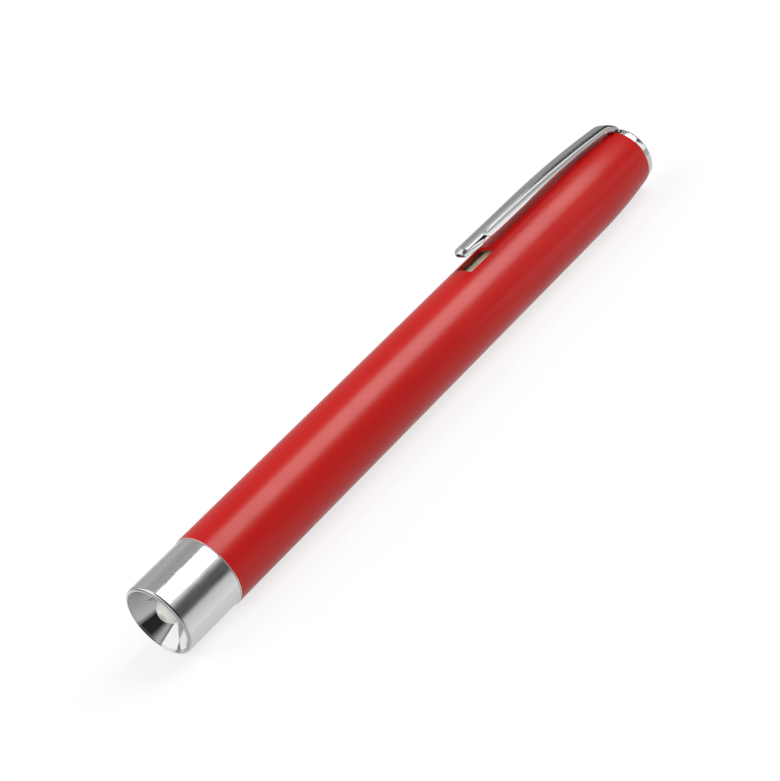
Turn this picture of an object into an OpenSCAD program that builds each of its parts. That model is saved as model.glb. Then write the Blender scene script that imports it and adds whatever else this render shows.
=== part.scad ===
// Penlight: a red pen-shaped body around two slim cells in line, with a plated reflector head that
// screws into its mouth, a lamp behind the reflector and a sprung pocket clip that closes the switch.
// It lies along X with its lamp at -X and its clip up, and it rests on z = 0.

/* [Cells] */
// Diameter of one cell over its label
cell_d = 10.5; // [9.5:0.1:14.5]
// Length of one cell, terminal included
cell_len = 44.5; // [40:0.5:60]
// Diameter of the positive terminal
nub_d = 3.8; // [3:0.1:5]
// Height of the positive terminal
nub_h = 1; // [0.7:0.1:1.6]
// Thickness of the label round a cell
label_t = 0.15; // [0.1:0.05:0.3]
// Wall of the cell's steel can
can_wall = 0.25; // [0.2:0.05:0.5]
// Diameter of the negative end plate
end_plate_d = 7.1; // [6:0.1:8]
// Depth of the seal that closes the can
seal_len = 1.3; // [1:0.1:3]

/* [Head] */
// How far the head's radius stays under the barrel's
head_step = 0.175; // [0.05:0.025:0.5]
// Length of the head in front of the barrel
head_len = 12.5; // [11.5:0.1:16]
// Thickness of the rim round the reflector bowl
rim_w = 0.675; // [0.6:0.025:1.2]
// Rounding of the rim's outer edge
rim_round = 0.55; // [0.2:0.05:0.6]
// Depth of the reflector bowl
bowl_depth = 6.4; // [5:0.1:7]
// Small edge break where the head meets the barrel
joint_edge = 0.15; // [0.05:0.05:0.3]

/* [Lamp] */
// Diameter of the lamp's dome
led_d = 5; // [4.5:0.1:5.4]
// Length of the lamp from its dome to its back
led_len = 8.6; // [8.2:0.1:9.4]
// Diameter of the lamp's flange
led_flange_d = 5.8; // [5.6:0.1:6.6]
// Thickness of the lamp's flange
led_flange_t = 1; // [0.6:0.1:1.4]
// How far the dome stays behind the rim
led_recess = 1; // [0.5:0.1:1.5]
// Length of the insulating lamp holder
holder_len = 4; // [3.5:0.1:4.5]
// Thickness of the circuit board
board_t = 1; // [0.6:0.1:1.2]
// Length of the retaining ring
ring_len = 1.4; // [0.8:0.1:1.8]
// Width of the retaining ring's wall
ring_wall = 0.88; // [0.6:0.02:1]
// Thickness of the lamp's square leads
lead_t = 0.5; // [0.4:0.05:0.6]
// Spacing of the leads at the lamp
lead_pitch = 2.54; // [2.4:0.02:2.7]
// Spacing of the leads at the board
lead_spread = 5.8; // [5.2:0.1:6]
// Diameter of the front contact's post
contact_d = 2.6; // [2:0.1:3]

/* [Thread] */
// Pitch of the head's right-hand thread
thread_pitch = 1; // [0.9:0.05:1.2]
// Turns of thread on the head's spigot
thread_turns = 5; // [3:1:7]
// Depth of the thread
thread_depth = 0.4; // [0.3:0.02:0.45]
// Plain neck between the head's shoulder and its thread
neck_len = 0.6; // [0.5:0.1:1.2]
// Wall of the spigot under its thread
spigot_wall = 0.6; // [0.4:0.05:0.8]

/* [Barrel] */
// Wall of the barrel tube
barrel_wall = 0.7; // [0.5:0.05:1.2]
// Length of the barrel behind its inner shoulder
tail_len = 13.2; // [11:0.2:18]
// Length of the tapered stretch at the tail
taper_len = 16; // [10:0.5:24]
// How much the radius falls over the taper
taper_drop = 1; // [0.5:0.1:1.4]
// Rounding of the barrel's tail edge
tail_round = 0.5; // [0.2:0.05:0.7]
// Wall round the tail bore at the tail end
tail_wall = 1.25; // [0.9:0.05:1.6]

/* [Contacts] */
// Thickness of the insulating liner
liner_t = 0.4; // [0.3:0.05:0.6]
// Thickness of the brass contact strip
strip_t = 0.3; // [0.2:0.05:0.5]
// Width of the brass contact strip
strip_w = 3.6; // [3:0.1:4]
// Length of the barrel's window over the strip
window_len = 7.4; // [7:0.1:9]
// Width of the barrel's window over the strip
window_w = 4; // [3.4:0.1:4.6]
// How far the window's middle lies ahead of the clip's nose
window_lead = 2; // [1.6:0.1:2.4]
// Thickness of the spring's seat
seat_t = 0.4; // [0.3:0.05:0.8]
// Length of the tail insulator's flange
insulator_len = 4; // [3:0.2:6]
// Length of the tail insulator's boss
boss_len = 3; // [2:0.2:5]

/* [Spring] */
// Length of the tail spring as fitted
spring_len = 10.5; // [8:0.5:14]
// Mean diameter of the tail spring
spring_d = 7; // [5:0.2:8]
// Diameter of the spring's wire
wire_d = 0.6; // [0.4:0.05:0.7]
// Open coils between the spring's closed ends
open_coils = 4; // [3:1:6]

/* [Clip] */
// Reach of the clip from the barrel's tail end to its tip
clip_reach = 46.9; // [42:0.5:56]
// Width of the clip
clip_w = 3; // [2.6:0.1:3.4]
// Thickness of the clip's sheet
sheet_t = 0.5; // [0.4:0.05:0.6]
// Height of the clip's crest over the barrel at its tip
clip_rise = 3.75; // [3.5:0.05:4.4]
// Slope of the clip's straight front stretch, in degrees
tip_slope = 0.6; // [0:0.05:1]
// Slope of the clip where its bend starts, in degrees
root_slope = 7.4; // [5:0.2:9]
// Length of the clip's curved rear stretch
curve_len = 25.8; // [16:0.5:28]
// Height of the clip's crown in its front stretch
front_crown = 1.2; // [0.9:0.05:1.4]
// Height of the clip's crown at its bend
root_crown = 0.3; // [0.2:0.05:0.5]
// Outer radius of the clip's bend
bend_r = 5.2; // [4.8:0.1:5.6]
// How far the bend's full arc would pass behind the foot
bend_over = 0.7; // [0.5:0.05:0.9]
// Depth of the clip's edges below its crest at the tip
tip_side_h = 0.75; // [0.65:0.05:0.9]
// Depth of the clip's side walls behind the nose
mid_side_h = 1.85; // [1.6:0.05:1.9]
// Depth of the clip's side walls at the bend
root_side_h = 1.1; // [0.9:0.05:1.3]
// Distance from the clip's tip to its nose
nose_setback = 5.2; // [4.8:0.1:5.8]
// Free travel of the nose's pip down to the contact strip
nose_travel = 2.05; // [1.8:0.05:2.2]
// How far the contact pip stands below the nose
pip_h = 0.55; // [0.4:0.05:0.7]
// Thickness of the folded nose
nose_t = 0.4; // [0.3:0.05:0.5]
// Width of the folded nose
nose_w = 1.9; // [1.6:0.1:2]
// Length of the clip's foot below the bend's centre
foot_len = 2.2; // [1.8:0.1:2.6]
// Diameter of the rivet that holds the foot
rivet_d = 1.1; // [0.9:0.05:1.2]

/* [Tail cap] */
// How far the cap's radius stays under the barrel's tail
cap_step = 0.3; // [0.1:0.05:0.6]
// Cap metal behind the clip's foot
cap_rear_t = 0.5; // [0.4:0.05:1]
// Rounding of the cap's rear edge
cap_round = 0.4; // [0.2:0.05:0.5]
// Length of the cap's plug in the barrel
plug_len = 6; // [4:0.5:8]

/* [Fits] */
// Radial gap of a seated or pressed piece
seat_gap = 0.02; // [0.01:0.01:0.05]
// Radial gap of a piece that slides or turns
slide_gap = 0.1; // [0.08:0.01:0.15]
// Radial gap between a cell and the contact strip
cell_gap = 0.2; // [0.15:0.05:0.4]
// Gap round the clip's foot in the tail cap
foot_gap = 0.24; // [0.2:0.02:0.3]

/* [Hidden] */
$fn = 96;
// Overshoot of a cutting solid past the face that it cuts
cut = 1;

// Radii, built up from the cell outwards
cell_r = cell_d / 2;
strip_r0 = cell_r + cell_gap;
strip_r1 = strip_r0 + strip_t;
liner_r0 = strip_r1 + slide_gap / 2;
liner_r1 = liner_r0 + liner_t;
bore_r = liner_r1 + slide_gap;
barrel_r = bore_r + barrel_wall;
head_r = barrel_r - head_step;
tail_r = barrel_r - taper_drop;
tail_bore_r = tail_r - tail_wall;
cap_r = tail_r - cap_step;

// Radii of the thread and of the lamp's stack inside the spigot
nut_crest_r = cell_r + slide_gap;
screw_root_r = nut_crest_r - slide_gap;
screw_crest_r = screw_root_r + thread_depth;
nut_root_r = screw_crest_r + slide_gap;
insert_bore_r = screw_root_r - spigot_wall;
insert_r = insert_bore_r - slide_gap;
ring_r1 = insert_bore_r - seat_gap;
ring_r0 = ring_r1 - ring_wall;
led_r = led_d / 2;
throat_r = led_r + slide_gap;
flange_bore_r = led_flange_d / 2 + slide_gap;

// Stations along the pen, measured from the front rim
thread_len = thread_pitch * thread_turns;
x_joint = head_len;
x_thread = x_joint + neck_len;
spigot_end_len = 0.5;
x_spigot = x_thread + thread_len + spigot_end_len;
shoulder_gap = 0.3;
x_bush = x_spigot + shoulder_gap / 2;
x_led_seat = led_recess + led_len - led_flange_t;
x_led_back = led_recess + led_len;
x_board = x_led_back + holder_len;
x_board_back = x_board + board_t;
x_cell = x_spigot + shoulder_gap - nub_h;
x_cells_end = x_cell + 2 * cell_len;
x_seat = x_cells_end + spring_len;
x_insulator = x_seat + seat_t;
x_shoulder = x_insulator + insulator_len;
x_end = x_shoulder + tail_len;
x_foot = x_end + foot_gap;
cap_t = sheet_t + 2 * foot_gap + cap_rear_t;
overall_len = x_end + cap_t;

// Clip: its bend's centre, its tip, and the height and slope of its crest at any station
x_bend = x_foot + sheet_t + bend_over - bend_r;
x_tip = x_end - clip_reach;
x_arm_end = x_bend + bend_r * sin(root_slope);
x_curve = x_arm_end - curve_len;
curve_k = (tan(root_slope) - tan(tip_slope)) / (2 * curve_len);
function climb(x) =
    let (u = x_arm_end - x, c = min(u, curve_len))
    tan(root_slope) * c - curve_k * c * c + tan(tip_slope) * (u - c);
z_arm_end = barrel_r + clip_rise - climb(x_tip);
function clip_top(x) = z_arm_end + climb(x);
function clip_slope(x) = atan(tan(root_slope) - 2 * curve_k * min(x_arm_end - x, curve_len));
z_bend = z_arm_end - bend_r * cos(root_slope);
bend_stop = acos((bend_r - bend_over) / bend_r);
side_stop = 42;
wall_lap = 0.4;
x_nose = x_tip + nose_setback;
z_nose = strip_r1 + nose_travel;
side_step = 1.7;
x_side = x_nose + side_step;
side_t = 0.45;
curve_steps = 12;
tip_round = 1.5;
tip_step = 15;
crown_step = 15;

// Clip's nose: depth and setback of its fold at the tip, its flat, its rear end and its pip
fold_h = 1.75;
fold_in = 0.35;
fold_run = 2.5;
nose_root = 0.15;
nose_flat = 0.6;
nose_end = 1.45;
nose_lift = 0.15;
nose_end_h = 0.6;
pip_r = 0.8;

// Clip's foot and its rivet
foot_w = clip_w;
z_foot = z_bend - foot_len;
rivet_rise = 1.15;
z_rivet = z_foot + rivet_rise;
rivet_play = 0.27;
rivet_head_d = 1.9;
rivet_head_t = 0.25;
rivet_grip = 1.5;

// Window over the contact strip
x_window = x_nose - window_lead - window_len / 2;
window_corner = 0.5;
liner_margin = 0.4;
strip_front = 1.2;
tab_drop = 1.7;

// Small sizes of the lamp's inside
pocket_r = 1.7;
cup_r = 0.9;
cup_len = 1.2;
cup_depth = 0.4;
cup_rim = 0.2;
x_cup = led_recess + led_r + 2.1;
anode_drop = 0.4;
bend_in = 0.6;
bend_run = 1.6;
lead_tail = 0.4;
lead_slot = 0.2;
solder_r = 0.62;
solder_rim = 0.08;
shank_r = 0.75;
contact_flange_r = 1.7;
contact_flange_t = 0.5;
resistor_size = [0.5, 2, 1.25];
resistor_z = -2.65;
ring_notch = 1;

// Edges and steps
can_edge = 0.5;
plate_proud = 0.5;
core_gap = 0.05;
arc_step = 15;
taper_steps = 10;
thread_steps = 32;
fade_steps = 8;
fade_least = 0.15;
thread_sink = 0.1;
thread_base = 0.6;
thread_tip = 0.25;
ring_sides = 6;
coil_rings = 8;
closed_turn_gap = 0.15;

// Puts a piece drawn along the pen's axis, from its front rim, into the part's own frame
module lay() {
    translate([-overall_len / 2, 0, barrel_r])
        children();
}

// Points of a round corner, from one angle to another
function corner(cx, cy, r, a0, a1) =
    let (n = ceil(abs(a1 - a0) / arc_step))
    [for (i = [0:n]) let (a = a0 + (a1 - a0) * i / n) [cx + r * cos(a), cy + r * sin(a)]];

// Solid turned about the pen's axis from points of station and radius
module turned(points) {
    rotate([0, 90, 0])
        rotate_extrude()
            polygon([for (p = points) [p[1], p[0]]]);
}

module rod(x0, x1, r) {
    translate([x0, 0, 0])
        rotate([0, 90, 0])
            cylinder(r = r, h = x1 - x0);
}

module ring(x0, x1, r0, r1) {
    turned([[x0, r0], [x1, r0], [x1, r1], [x0, r1]]);
}

// Box between two corners
module block(a, b) {
    translate(a)
        cube(b - a);
}

// Flat strip of one thickness along a bent line, with round elbows
module bent_strip(points, t) {
    for (i = [0:len(points) - 2])
        let (d = points[i + 1] - points[i])
            translate(points[i])
                rotate(atan2(d[1], d[0]))
                    translate([0, -t / 2])
                        square([norm(d), t]);
    for (p = points)
        translate(p)
            circle(d = t);
}

// Extrudes a side view, drawn in station and height, evenly across the pen's middle plane
module across(w) {
    rotate([90, 0, 0])
        linear_extrude(w, center = true)
            children();
}

// Thread
// One section of the helical ridge, whose ends fade into its cylinder
function ridge_section(i, n, r0, r1, w0, w1) =
    let (a = 360 * i / thread_steps, x = thread_pitch * i / thread_steps,
        fade = max(fade_least, min(1, min(i, n - i) / fade_steps)), r = r0 + (r1 - r0) * fade)
    [[r0 * cos(a), r0 * sin(a), x - w0 / 2],
        [r * cos(a), r * sin(a), x - w1 / 2],
        [r * cos(a), r * sin(a), x + w1 / 2],
        [r0 * cos(a), r0 * sin(a), x + w0 / 2]];

// Helical ridge from a base radius to a crest radius, outwards for a screw and inwards for a nut
module thread_ridge(r0, r1, turn) {
    n = thread_turns * thread_steps;
    slope_w = (thread_base - thread_tip) * thread_sink / thread_depth;
    w0 = thread_base + slope_w;
    points = [for (i = [0:n]) each ridge_section(i, n, r0, r1, w0, thread_tip)];
    sides = [for (i = [0:n - 1], k = [0:3]) let (a = 4 * i + k, b = 4 * i + (k + 1) % 4)
        each [[a, b, b + 4], [a, b + 4, a + 4]]];
    last = 4 * n;
    ends = [[2, 1, 0], [3, 2, 0], [last, last + 1, last + 2], [last, last + 2, last + 3]];
    faces = concat(sides, ends);
    outward = r1 > r0 ? faces : [for (f = faces) [f[2], f[1], f[0]]];
    translate([x_thread, 0, 0])
        rotate([0, 90, 0])
            rotate(turn)
                polyhedron(points, outward);
}

// Barrel and what is fixed in it
module barrel_profile() {
    taper = [for (i = [taper_steps:-1:1]) let (u = i / taper_steps)
        [x_end - tail_round - (taper_len - tail_round) * (1 - u), barrel_r - taper_drop * u * u]];
    edge = [for (p = corner(x_end - tail_round, tail_r - tail_round, tail_round, 0, 75)) p];
    inside = [[x_joint, bore_r], [x_shoulder, bore_r], [x_shoulder, tail_bore_r], [x_end, tail_bore_r]];
    front = [[x_end - taper_len, barrel_r], [x_joint + joint_edge, barrel_r],
        [x_joint, barrel_r - joint_edge]];
    turned(concat(inside, edge, taper, front));
}

// Opening over the contact strip, with a margin all round
module window(margin) {
    l = window_len + 2 * margin;
    w = window_w + 2 * margin;
    r = window_corner;
    translate([x_window - margin, -w / 2, 0])
        linear_extrude(barrel_r + cut) {
            translate([r, 0])
                square([l - 2 * r, w]);
            translate([0, r])
                square([l, w - 2 * r]);
            for (x = [r, l - r], y = [r, w - r])
                translate([x, y])
                    circle(r = r);
        }
}

module barrel_tube() {
    color("crimson")
        lay()
            difference() {
                barrel_profile();
                window(0);
            }
}

module thread_bush() {
    color("goldenrod")
        lay() {
            ring(x_joint, x_bush, nut_root_r, bore_r - seat_gap);
            thread_ridge(nut_root_r + thread_sink, nut_crest_r, 180);
        }
}

module liner_sleeve() {
    color("wheat")
        lay()
            difference() {
                ring(x_bush + seat_gap, x_insulator - seat_gap, liner_r0, liner_r1);
                window(liner_margin);
            }
}

module contact_strip() {
    x0 = x_window - strip_front;
    x1 = x_insulator + strip_t;
    color("darkkhaki")
        lay() {
            intersection() {
                ring(x0, x1, strip_r0, strip_r1);
                block([x0, -strip_w / 2, 0], [x1, strip_w / 2, barrel_r]);
            }
            intersection() {
                rod(x_insulator, x1, strip_r1);
                block([x_insulator, -strip_w / 2, strip_r1 - tab_drop], [x1, strip_w / 2, barrel_r]);
            }
        }
}

module spring_seat() {
    color("gold")
        lay()
            rod(x_seat, x_insulator, cell_r);
}

// Height of the spring's centre line along the pen, with one closed turn at each end
function coil_x(turn) =
    let (closed = wire_d + closed_turn_gap,
        open = (spring_len - wire_d - 2 * seat_gap - 2 * closed) / open_coils)
    turn < 1 ? closed * turn
    : turn < 1 + open_coils ? closed + open * (turn - 1)
    : closed + open * open_coils + closed * (turn - 1 - open_coils);

module tail_spring() {
    n = (open_coils + 2) * coil_rings;
    k = ring_sides;
    x0 = x_cells_end + wire_d / 2 + seat_gap;
    points = [for (i = [0:n], j = [0:k - 1])
        let (a = 360 * i / coil_rings, b = 360 * j / k, r = spring_d / 2 + wire_d / 2 * cos(b))
        [x0 + coil_x(i / coil_rings) + wire_d / 2 * sin(b), r * cos(a), r * sin(a)]];
    sides = [for (i = [0:n - 1], j = [0:k - 1]) let (a = k * i + j, b = k * i + (j + 1) % k)
        each [[a, b + k, b], [a, a + k, b + k]]];
    ends = [for (j = [1:k - 2]) each [[0, j, j + 1], [k * n, k * n + j + 1, k * n + j]]];
    color("silver")
        lay()
            polyhedron(points, concat(sides, ends));
}

module tail_insulator() {
    notch_w = strip_w + 2 * slide_gap;
    color("dimgray")
        lay()
            difference() {
                union() {
                    rod(x_insulator, x_shoulder, liner_r1);
                    rod(x_shoulder, x_shoulder + boss_len, tail_bore_r - slide_gap);
                }
                block([x_insulator - cut, -notch_w / 2, strip_r1 - tab_drop - slide_gap],
                    [x_insulator + strip_t, notch_w / 2, barrel_r]);
            }
}

module tail_cap() {
    color("gainsboro")
        lay()
            difference() {
                turned(concat(
                    [[x_end - plug_len, 0], [overall_len, 0]],
                    corner(overall_len - cap_round, cap_r - cap_round, cap_round, 0, 90),
                    [[x_end, cap_r], [x_end, tail_bore_r - seat_gap],
                        [x_end - plug_len, tail_bore_r - seat_gap]]));
                block([x_end, -foot_w / 2 - foot_gap, z_foot - foot_gap],
                    [x_foot + sheet_t + foot_gap, foot_w / 2 + foot_gap, barrel_r]);
                translate([0, 0, z_rivet]) {
                    rod(x_end - rivet_grip, overall_len + cut, rivet_d / 2 + seat_gap);
                    rod(overall_len - rivet_head_t, overall_len + cut, rivet_head_d / 2 + seat_gap);
                }
            }
}

module clip_rivet() {
    color("lightgray")
        lay()
            translate([0, 0, z_rivet]) {
                rod(x_end - rivet_grip, overall_len, rivet_d / 2);
                rod(overall_len - rivet_head_t + seat_gap, overall_len, rivet_head_d / 2);
            }
}

// Clip
// Depth of the clip's side walls and height of its crown at any station
function side_h(x) = mid_side_h + (root_side_h - mid_side_h) * max(0, x - x_curve) / curve_len;
function crown_h(x) = root_crown + (front_crown - root_crown) * min(1, (x_arm_end - x) / curve_len);

// Cross-section of the clip under its crest, as points of width and depth, that shrinks into the tip
function crowned(w, crown, floor, k) =
    let (arch = [for (t = [0:crown_step:180]) [-w * k * cos(t), crown * (1 - k * sin(t))]])
    concat([[-w * k, floor]], arch, [[w * k, floor]]);

// Stations along the clip's arm from a tip at x0, each with the tip's share of the full section
function arm_stations(x0) =
    let (tip = [for (a = [tip_step:tip_step:90]) [x0 + tip_round * (1 - cos(a)), sin(a)]],
        curve = [for (i = [0:curve_steps]) [x_curve + curve_len * i / curve_steps, 1]])
    concat(tip, curve);

// Solid through the clip's cross-sections, set in from its outside by a wall and a sheet
module arm_solid(x0, wall, sheet, deeper) {
    w = clip_w / 2 - wall;
    stations = arm_stations(x0);
    sections = [for (s = stations)
        let (x = s[0], a = clip_slope(x), crown = crown_h(x) * 2 * w / clip_w)
        [for (p = crowned(w, crown, side_h(x) - sheet + deeper, s[1]))
            [x - (p[1] + sheet) * sin(a), p[0], clip_top(x) - (p[1] + sheet) * cos(a)]]];
    n = len(sections[0]);
    m = len(stations) - 1;
    sides = [for (i = [0:m - 1], j = [0:n - 1]) let (a = n * i + j, b = n * i + (j + 1) % n)
        each [[a, b, b + n], [a, b + n, a + n]]];
    ends = [for (j = [1:n - 2]) each [[0, j + 1, j], [n * m, n * m + j, n * m + j + 1]]];
    polyhedron([for (s = sections) each s], concat(sides, ends));
}

// Section of the clip, as points of width and depth, swept round its bend between two angles
module bend_turn(section, a0, a1) {
    translate([x_bend, 0, z_bend])
        rotate([90, 0, 0])
            rotate(a0)
                rotate_extrude(angle = a1 - a0)
                    polygon([for (p = section) [bend_r - p[1], p[0]]]);
}

// Folded nose: a small channel under the tip, with a pip that meets the contact strip
module clip_nose() {
    z_flat = z_nose + pip_h;
    x_end_nose = x_nose + nose_end;
    z_root = clip_top(x_tip) - tip_side_h + nose_root;
    front = [x_tip + fold_in, clip_top(x_tip) - fold_h];
    under = [front, [x_nose - nose_flat, z_flat], [x_nose + nose_flat, z_flat],
        [x_end_nose, z_flat + nose_lift]];
    over = [[x_end_nose, z_flat + nose_lift + nose_end_h], [x_tip + fold_run, z_root], [front[0], z_root]];
    inside = concat([front + [nose_t, nose_t]], [for (i = [1:2]) under[i] + [0, nose_t]],
        [under[3] + [cut, nose_t], [x_end_nose + cut, z_root + cut], [front[0] + nose_t, z_root + cut]]);
    difference() {
        across(nose_w)
            polygon(concat(under, over));
        across(nose_w - 2 * nose_t)
            polygon(inside);
    }
    intersection() {
        translate([x_nose, 0, z_nose + pip_r])
            sphere(r = pip_r);
        block([x_nose - pip_r, -pip_r, z_nose - cut], [x_nose + pip_r, pip_r, z_flat + nose_t / 2]);
    }
}

module pocket_clip() {
    z_cut = clip_top(x_side) - tip_side_h;
    sheet = crowned(clip_w / 2, root_crown, sheet_t, 1);
    color("lightsteelblue")
        lay()
            difference() {
                union() {
                    difference() {
                        arm_solid(x_tip, 0, 0, 0);
                        arm_solid(x_tip + sheet_t, side_t, sheet_t, cut);
                        block([x_tip - cut, -clip_w, 0], [x_side, clip_w, z_cut]);
                    }
                    clip_nose();
                    intersection() {
                        bend_turn(sheet, bend_stop / 2, 90 - root_slope);
                        block([x_bend, -clip_w, z_bend], [x_foot + sheet_t, clip_w, z_arm_end + cut]);
                    }
                    for (y = [-clip_w / 2, clip_w / 2 - side_t])
                        bend_turn([[y, root_side_h], [y + side_t, root_side_h], [y + side_t, wall_lap],
                            [y, wall_lap]], side_stop, 90 - root_slope);
                    block([x_foot, -foot_w / 2, z_foot],
                        [x_foot + sheet_t, foot_w / 2, z_bend + bend_r * sin(bend_stop)]);
                }
                translate([0, 0, z_rivet])
                    rod(x_foot - cut, x_foot + sheet_t + cut, rivet_d / 2 + rivet_play);
            }
}

// Head
module reflector_head() {
    mouth_r = head_r - rim_w;
    bowl = [[0, mouth_r], [bowl_depth, throat_r], [x_led_seat, throat_r], [x_led_seat, flange_bore_r],
        [x_led_back, flange_bore_r], [x_led_back, insert_bore_r], [x_spigot, insert_bore_r]];
    spigot = [[x_spigot, screw_root_r - joint_edge], [x_spigot - joint_edge, screw_root_r],
        [x_joint, screw_root_r]];
    shell = [[x_joint, head_r - joint_edge], [x_joint - joint_edge, head_r]];
    rim = corner(rim_round, head_r - rim_round, rim_round, 90, 180);
    color("whitesmoke")
        lay() {
            turned(concat(bowl, spigot, shell, rim));
            thread_ridge(screw_root_r - thread_sink, screw_crest_r, 0);
        }
}

module retaining_ring() {
    x0 = x_board_back + seat_gap;
    color("peru")
        lay()
            difference() {
                ring(x0, x0 + ring_len, ring_r0, ring_r1);
                block([x0 + ring_len / 2, -ring_notch / 2, -barrel_r],
                    [x0 + ring_len + cut, ring_notch / 2, barrel_r]);
            }
}

// Lamp
module led_lens() {
    color("ivory")
        lay()
            difference() {
                union() {
                    translate([led_recess + led_r, 0, 0])
                        rotate([0, 90, 0])
                            sphere(r = led_r);
                    rod(led_recess + led_r, x_led_back, led_r);
                    rod(x_led_seat, x_led_back, led_flange_d / 2);
                }
                rod(x_cup - cup_depth, x_led_back + cut, pocket_r);
            }
}

// One formed lead, from its start inside the lamp to its tail behind the board
module lead(side, x0) {
    y0 = side * lead_pitch / 2;
    y1 = side * lead_spread / 2;
    x1 = x_led_back + bend_in;
    x2 = x1 + bend_run;
    linear_extrude(lead_t, center = true)
        bent_strip([[x0, y0], [x1, y0], [x2, y1], [x_board_back + lead_tail, y1]], lead_t);
}

module led_lead_frame() {
    color("lightgray")
        lay() {
            lead(1, x_cup + anode_drop);
            lead(-1, x_cup + cup_len);
            difference() {
                union() {
                    rod(x_cup, x_cup + cup_len, cup_r);
                    block([x_cup + cup_len / 2, -lead_pitch / 2, -lead_t / 2],
                        [x_cup + cup_len + lead_t / 2, 0, lead_t / 2]);
                }
                rod(x_cup - cut, x_cup + cup_depth, cup_r - cup_rim);
            }
        }
}

module led_phosphor() {
    color("khaki")
        lay()
            rod(x_cup + seat_gap, x_cup + cup_depth, cup_r - cup_rim - seat_gap);
}

// Square passage for the leads, as wide as their spread
module lead_passage(x0, x1) {
    y = lead_spread / 2 + lead_t / 2 + lead_slot;
    z = lead_t / 2 + lead_slot;
    block([x0, -y, -z], [x1, y, z]);
}

module lamp_holder() {
    color("oldlace")
        lay()
            difference() {
                rod(x_led_back, x_board, insert_r);
                lead_passage(x_led_back - cut, x_board + cut);
            }
}

module circuit_board() {
    h = lead_t / 2 + seat_gap;
    color("darkgreen")
        lay()
            difference() {
                rod(x_board, x_board_back, insert_r);
                rod(x_board - cut, x_board_back + cut, shank_r);
                for (y = [-1, 1] * lead_spread / 2)
                    block([x_board - cut, y - h, -h], [x_board_back + cut, y + h, h]);
            }
}

module solder_joints() {
    h = lead_t / 2 + seat_gap;
    color("darkgray")
        lay()
            for (y = [-1, 1] * lead_spread / 2)
                difference() {
                    translate([x_board_back, y, 0])
                        rotate([0, 90, 0])
                            cylinder(r1 = solder_r, r2 = h * sqrt(2) + solder_rim, h = lead_tail);
                    block([x_board_back - cut, y - h, -h], [x_board_back + lead_tail + cut, y + h, h]);
                }
}

module resistor() {
    color("black")
        lay()
            translate([x_board_back, -resistor_size[1] / 2, resistor_z - resistor_size[2] / 2])
                cube(resistor_size);
}

module front_contact() {
    color("gold")
        lay() {
            rod(x_board, x_board_back, shank_r - seat_gap);
            rod(x_board_back, x_board_back + contact_flange_t, contact_flange_r);
            rod(x_board_back, x_cell, contact_d / 2);
        }
}

// Cells: each is drawn from the end of its positive terminal at x0
module cell_label(x0) {
    ring(x0 + nub_h + can_edge, x0 + cell_len - plate_proud, cell_r - label_t, cell_r);
}

module cell_can(x0) {
    r = cell_r - label_t - seat_gap;
    x1 = x0 + nub_h;
    x2 = x0 + cell_len - plate_proud;
    nub = [[x0, 0], [x0, nub_d / 2], [x1, nub_d / 2]];
    shell = concat([[x1, r - can_edge], [x1 + can_edge, r], [x2, r], [x2, r - can_wall]]);
    inside = [[x1 + can_wall + can_edge, r - can_wall], [x1 + can_wall, r - can_wall - can_edge],
        [x1 + can_wall, 0]];
    turned(concat(nub, shell, inside));
}

module cell_core(x0) {
    r = cell_r - label_t - seat_gap - can_wall - core_gap;
    rod(x0 + nub_h + can_wall + can_edge, x0 + cell_len - plate_proud - seal_len - core_gap, r);
}

module cell_seal(x0) {
    x1 = x0 + cell_len - plate_proud;
    ring(x1 - seal_len, x1, end_plate_d / 2, cell_r - label_t - can_wall - 2 * seat_gap);
}

module cell_end_plate(x0) {
    rod(x0 + cell_len - plate_proud - seal_len, x0 + cell_len, end_plate_d / 2 - seat_gap);
}

module front_cell_label() {
    color("slategray")
        lay()
            cell_label(x_cell);
}

module front_cell_can() {
    color("silver")
        lay()
            cell_can(x_cell);
}

module front_cell_core() {
    color("dimgray")
        lay()
            cell_core(x_cell);
}

module front_cell_seal() {
    color("black")
        lay()
            cell_seal(x_cell);
}

module front_cell_end_plate() {
    color("silver")
        lay()
            cell_end_plate(x_cell);
}

module rear_cell_label() {
    color("slategray")
        lay()
            cell_label(x_cell + cell_len);
}

module rear_cell_can() {
    color("silver")
        lay()
            cell_can(x_cell + cell_len);
}

module rear_cell_core() {
    color("dimgray")
        lay()
            cell_core(x_cell + cell_len);
}

module rear_cell_seal() {
    color("black")
        lay()
            cell_seal(x_cell + cell_len);
}

module rear_cell_end_plate() {
    color("silver")
        lay()
            cell_end_plate(x_cell + cell_len);
}

barrel_tube();
thread_bush();
liner_sleeve();
contact_strip();
spring_seat();
tail_spring();
tail_insulator();
tail_cap();
clip_rivet();
pocket_clip();
reflector_head();
retaining_ring();
led_lens();
led_lead_frame();
led_phosphor();
lamp_holder();
circuit_board();
solder_joints();
resistor();
front_contact();
front_cell_label();
front_cell_can();
front_cell_core();
front_cell_seal();
front_cell_end_plate();
rear_cell_label();
rear_cell_can();
rear_cell_core();
rear_cell_seal();
rear_cell_end_plate();
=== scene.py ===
import math

import bmesh
import bpy
from mathutils import Matrix, Vector


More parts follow.
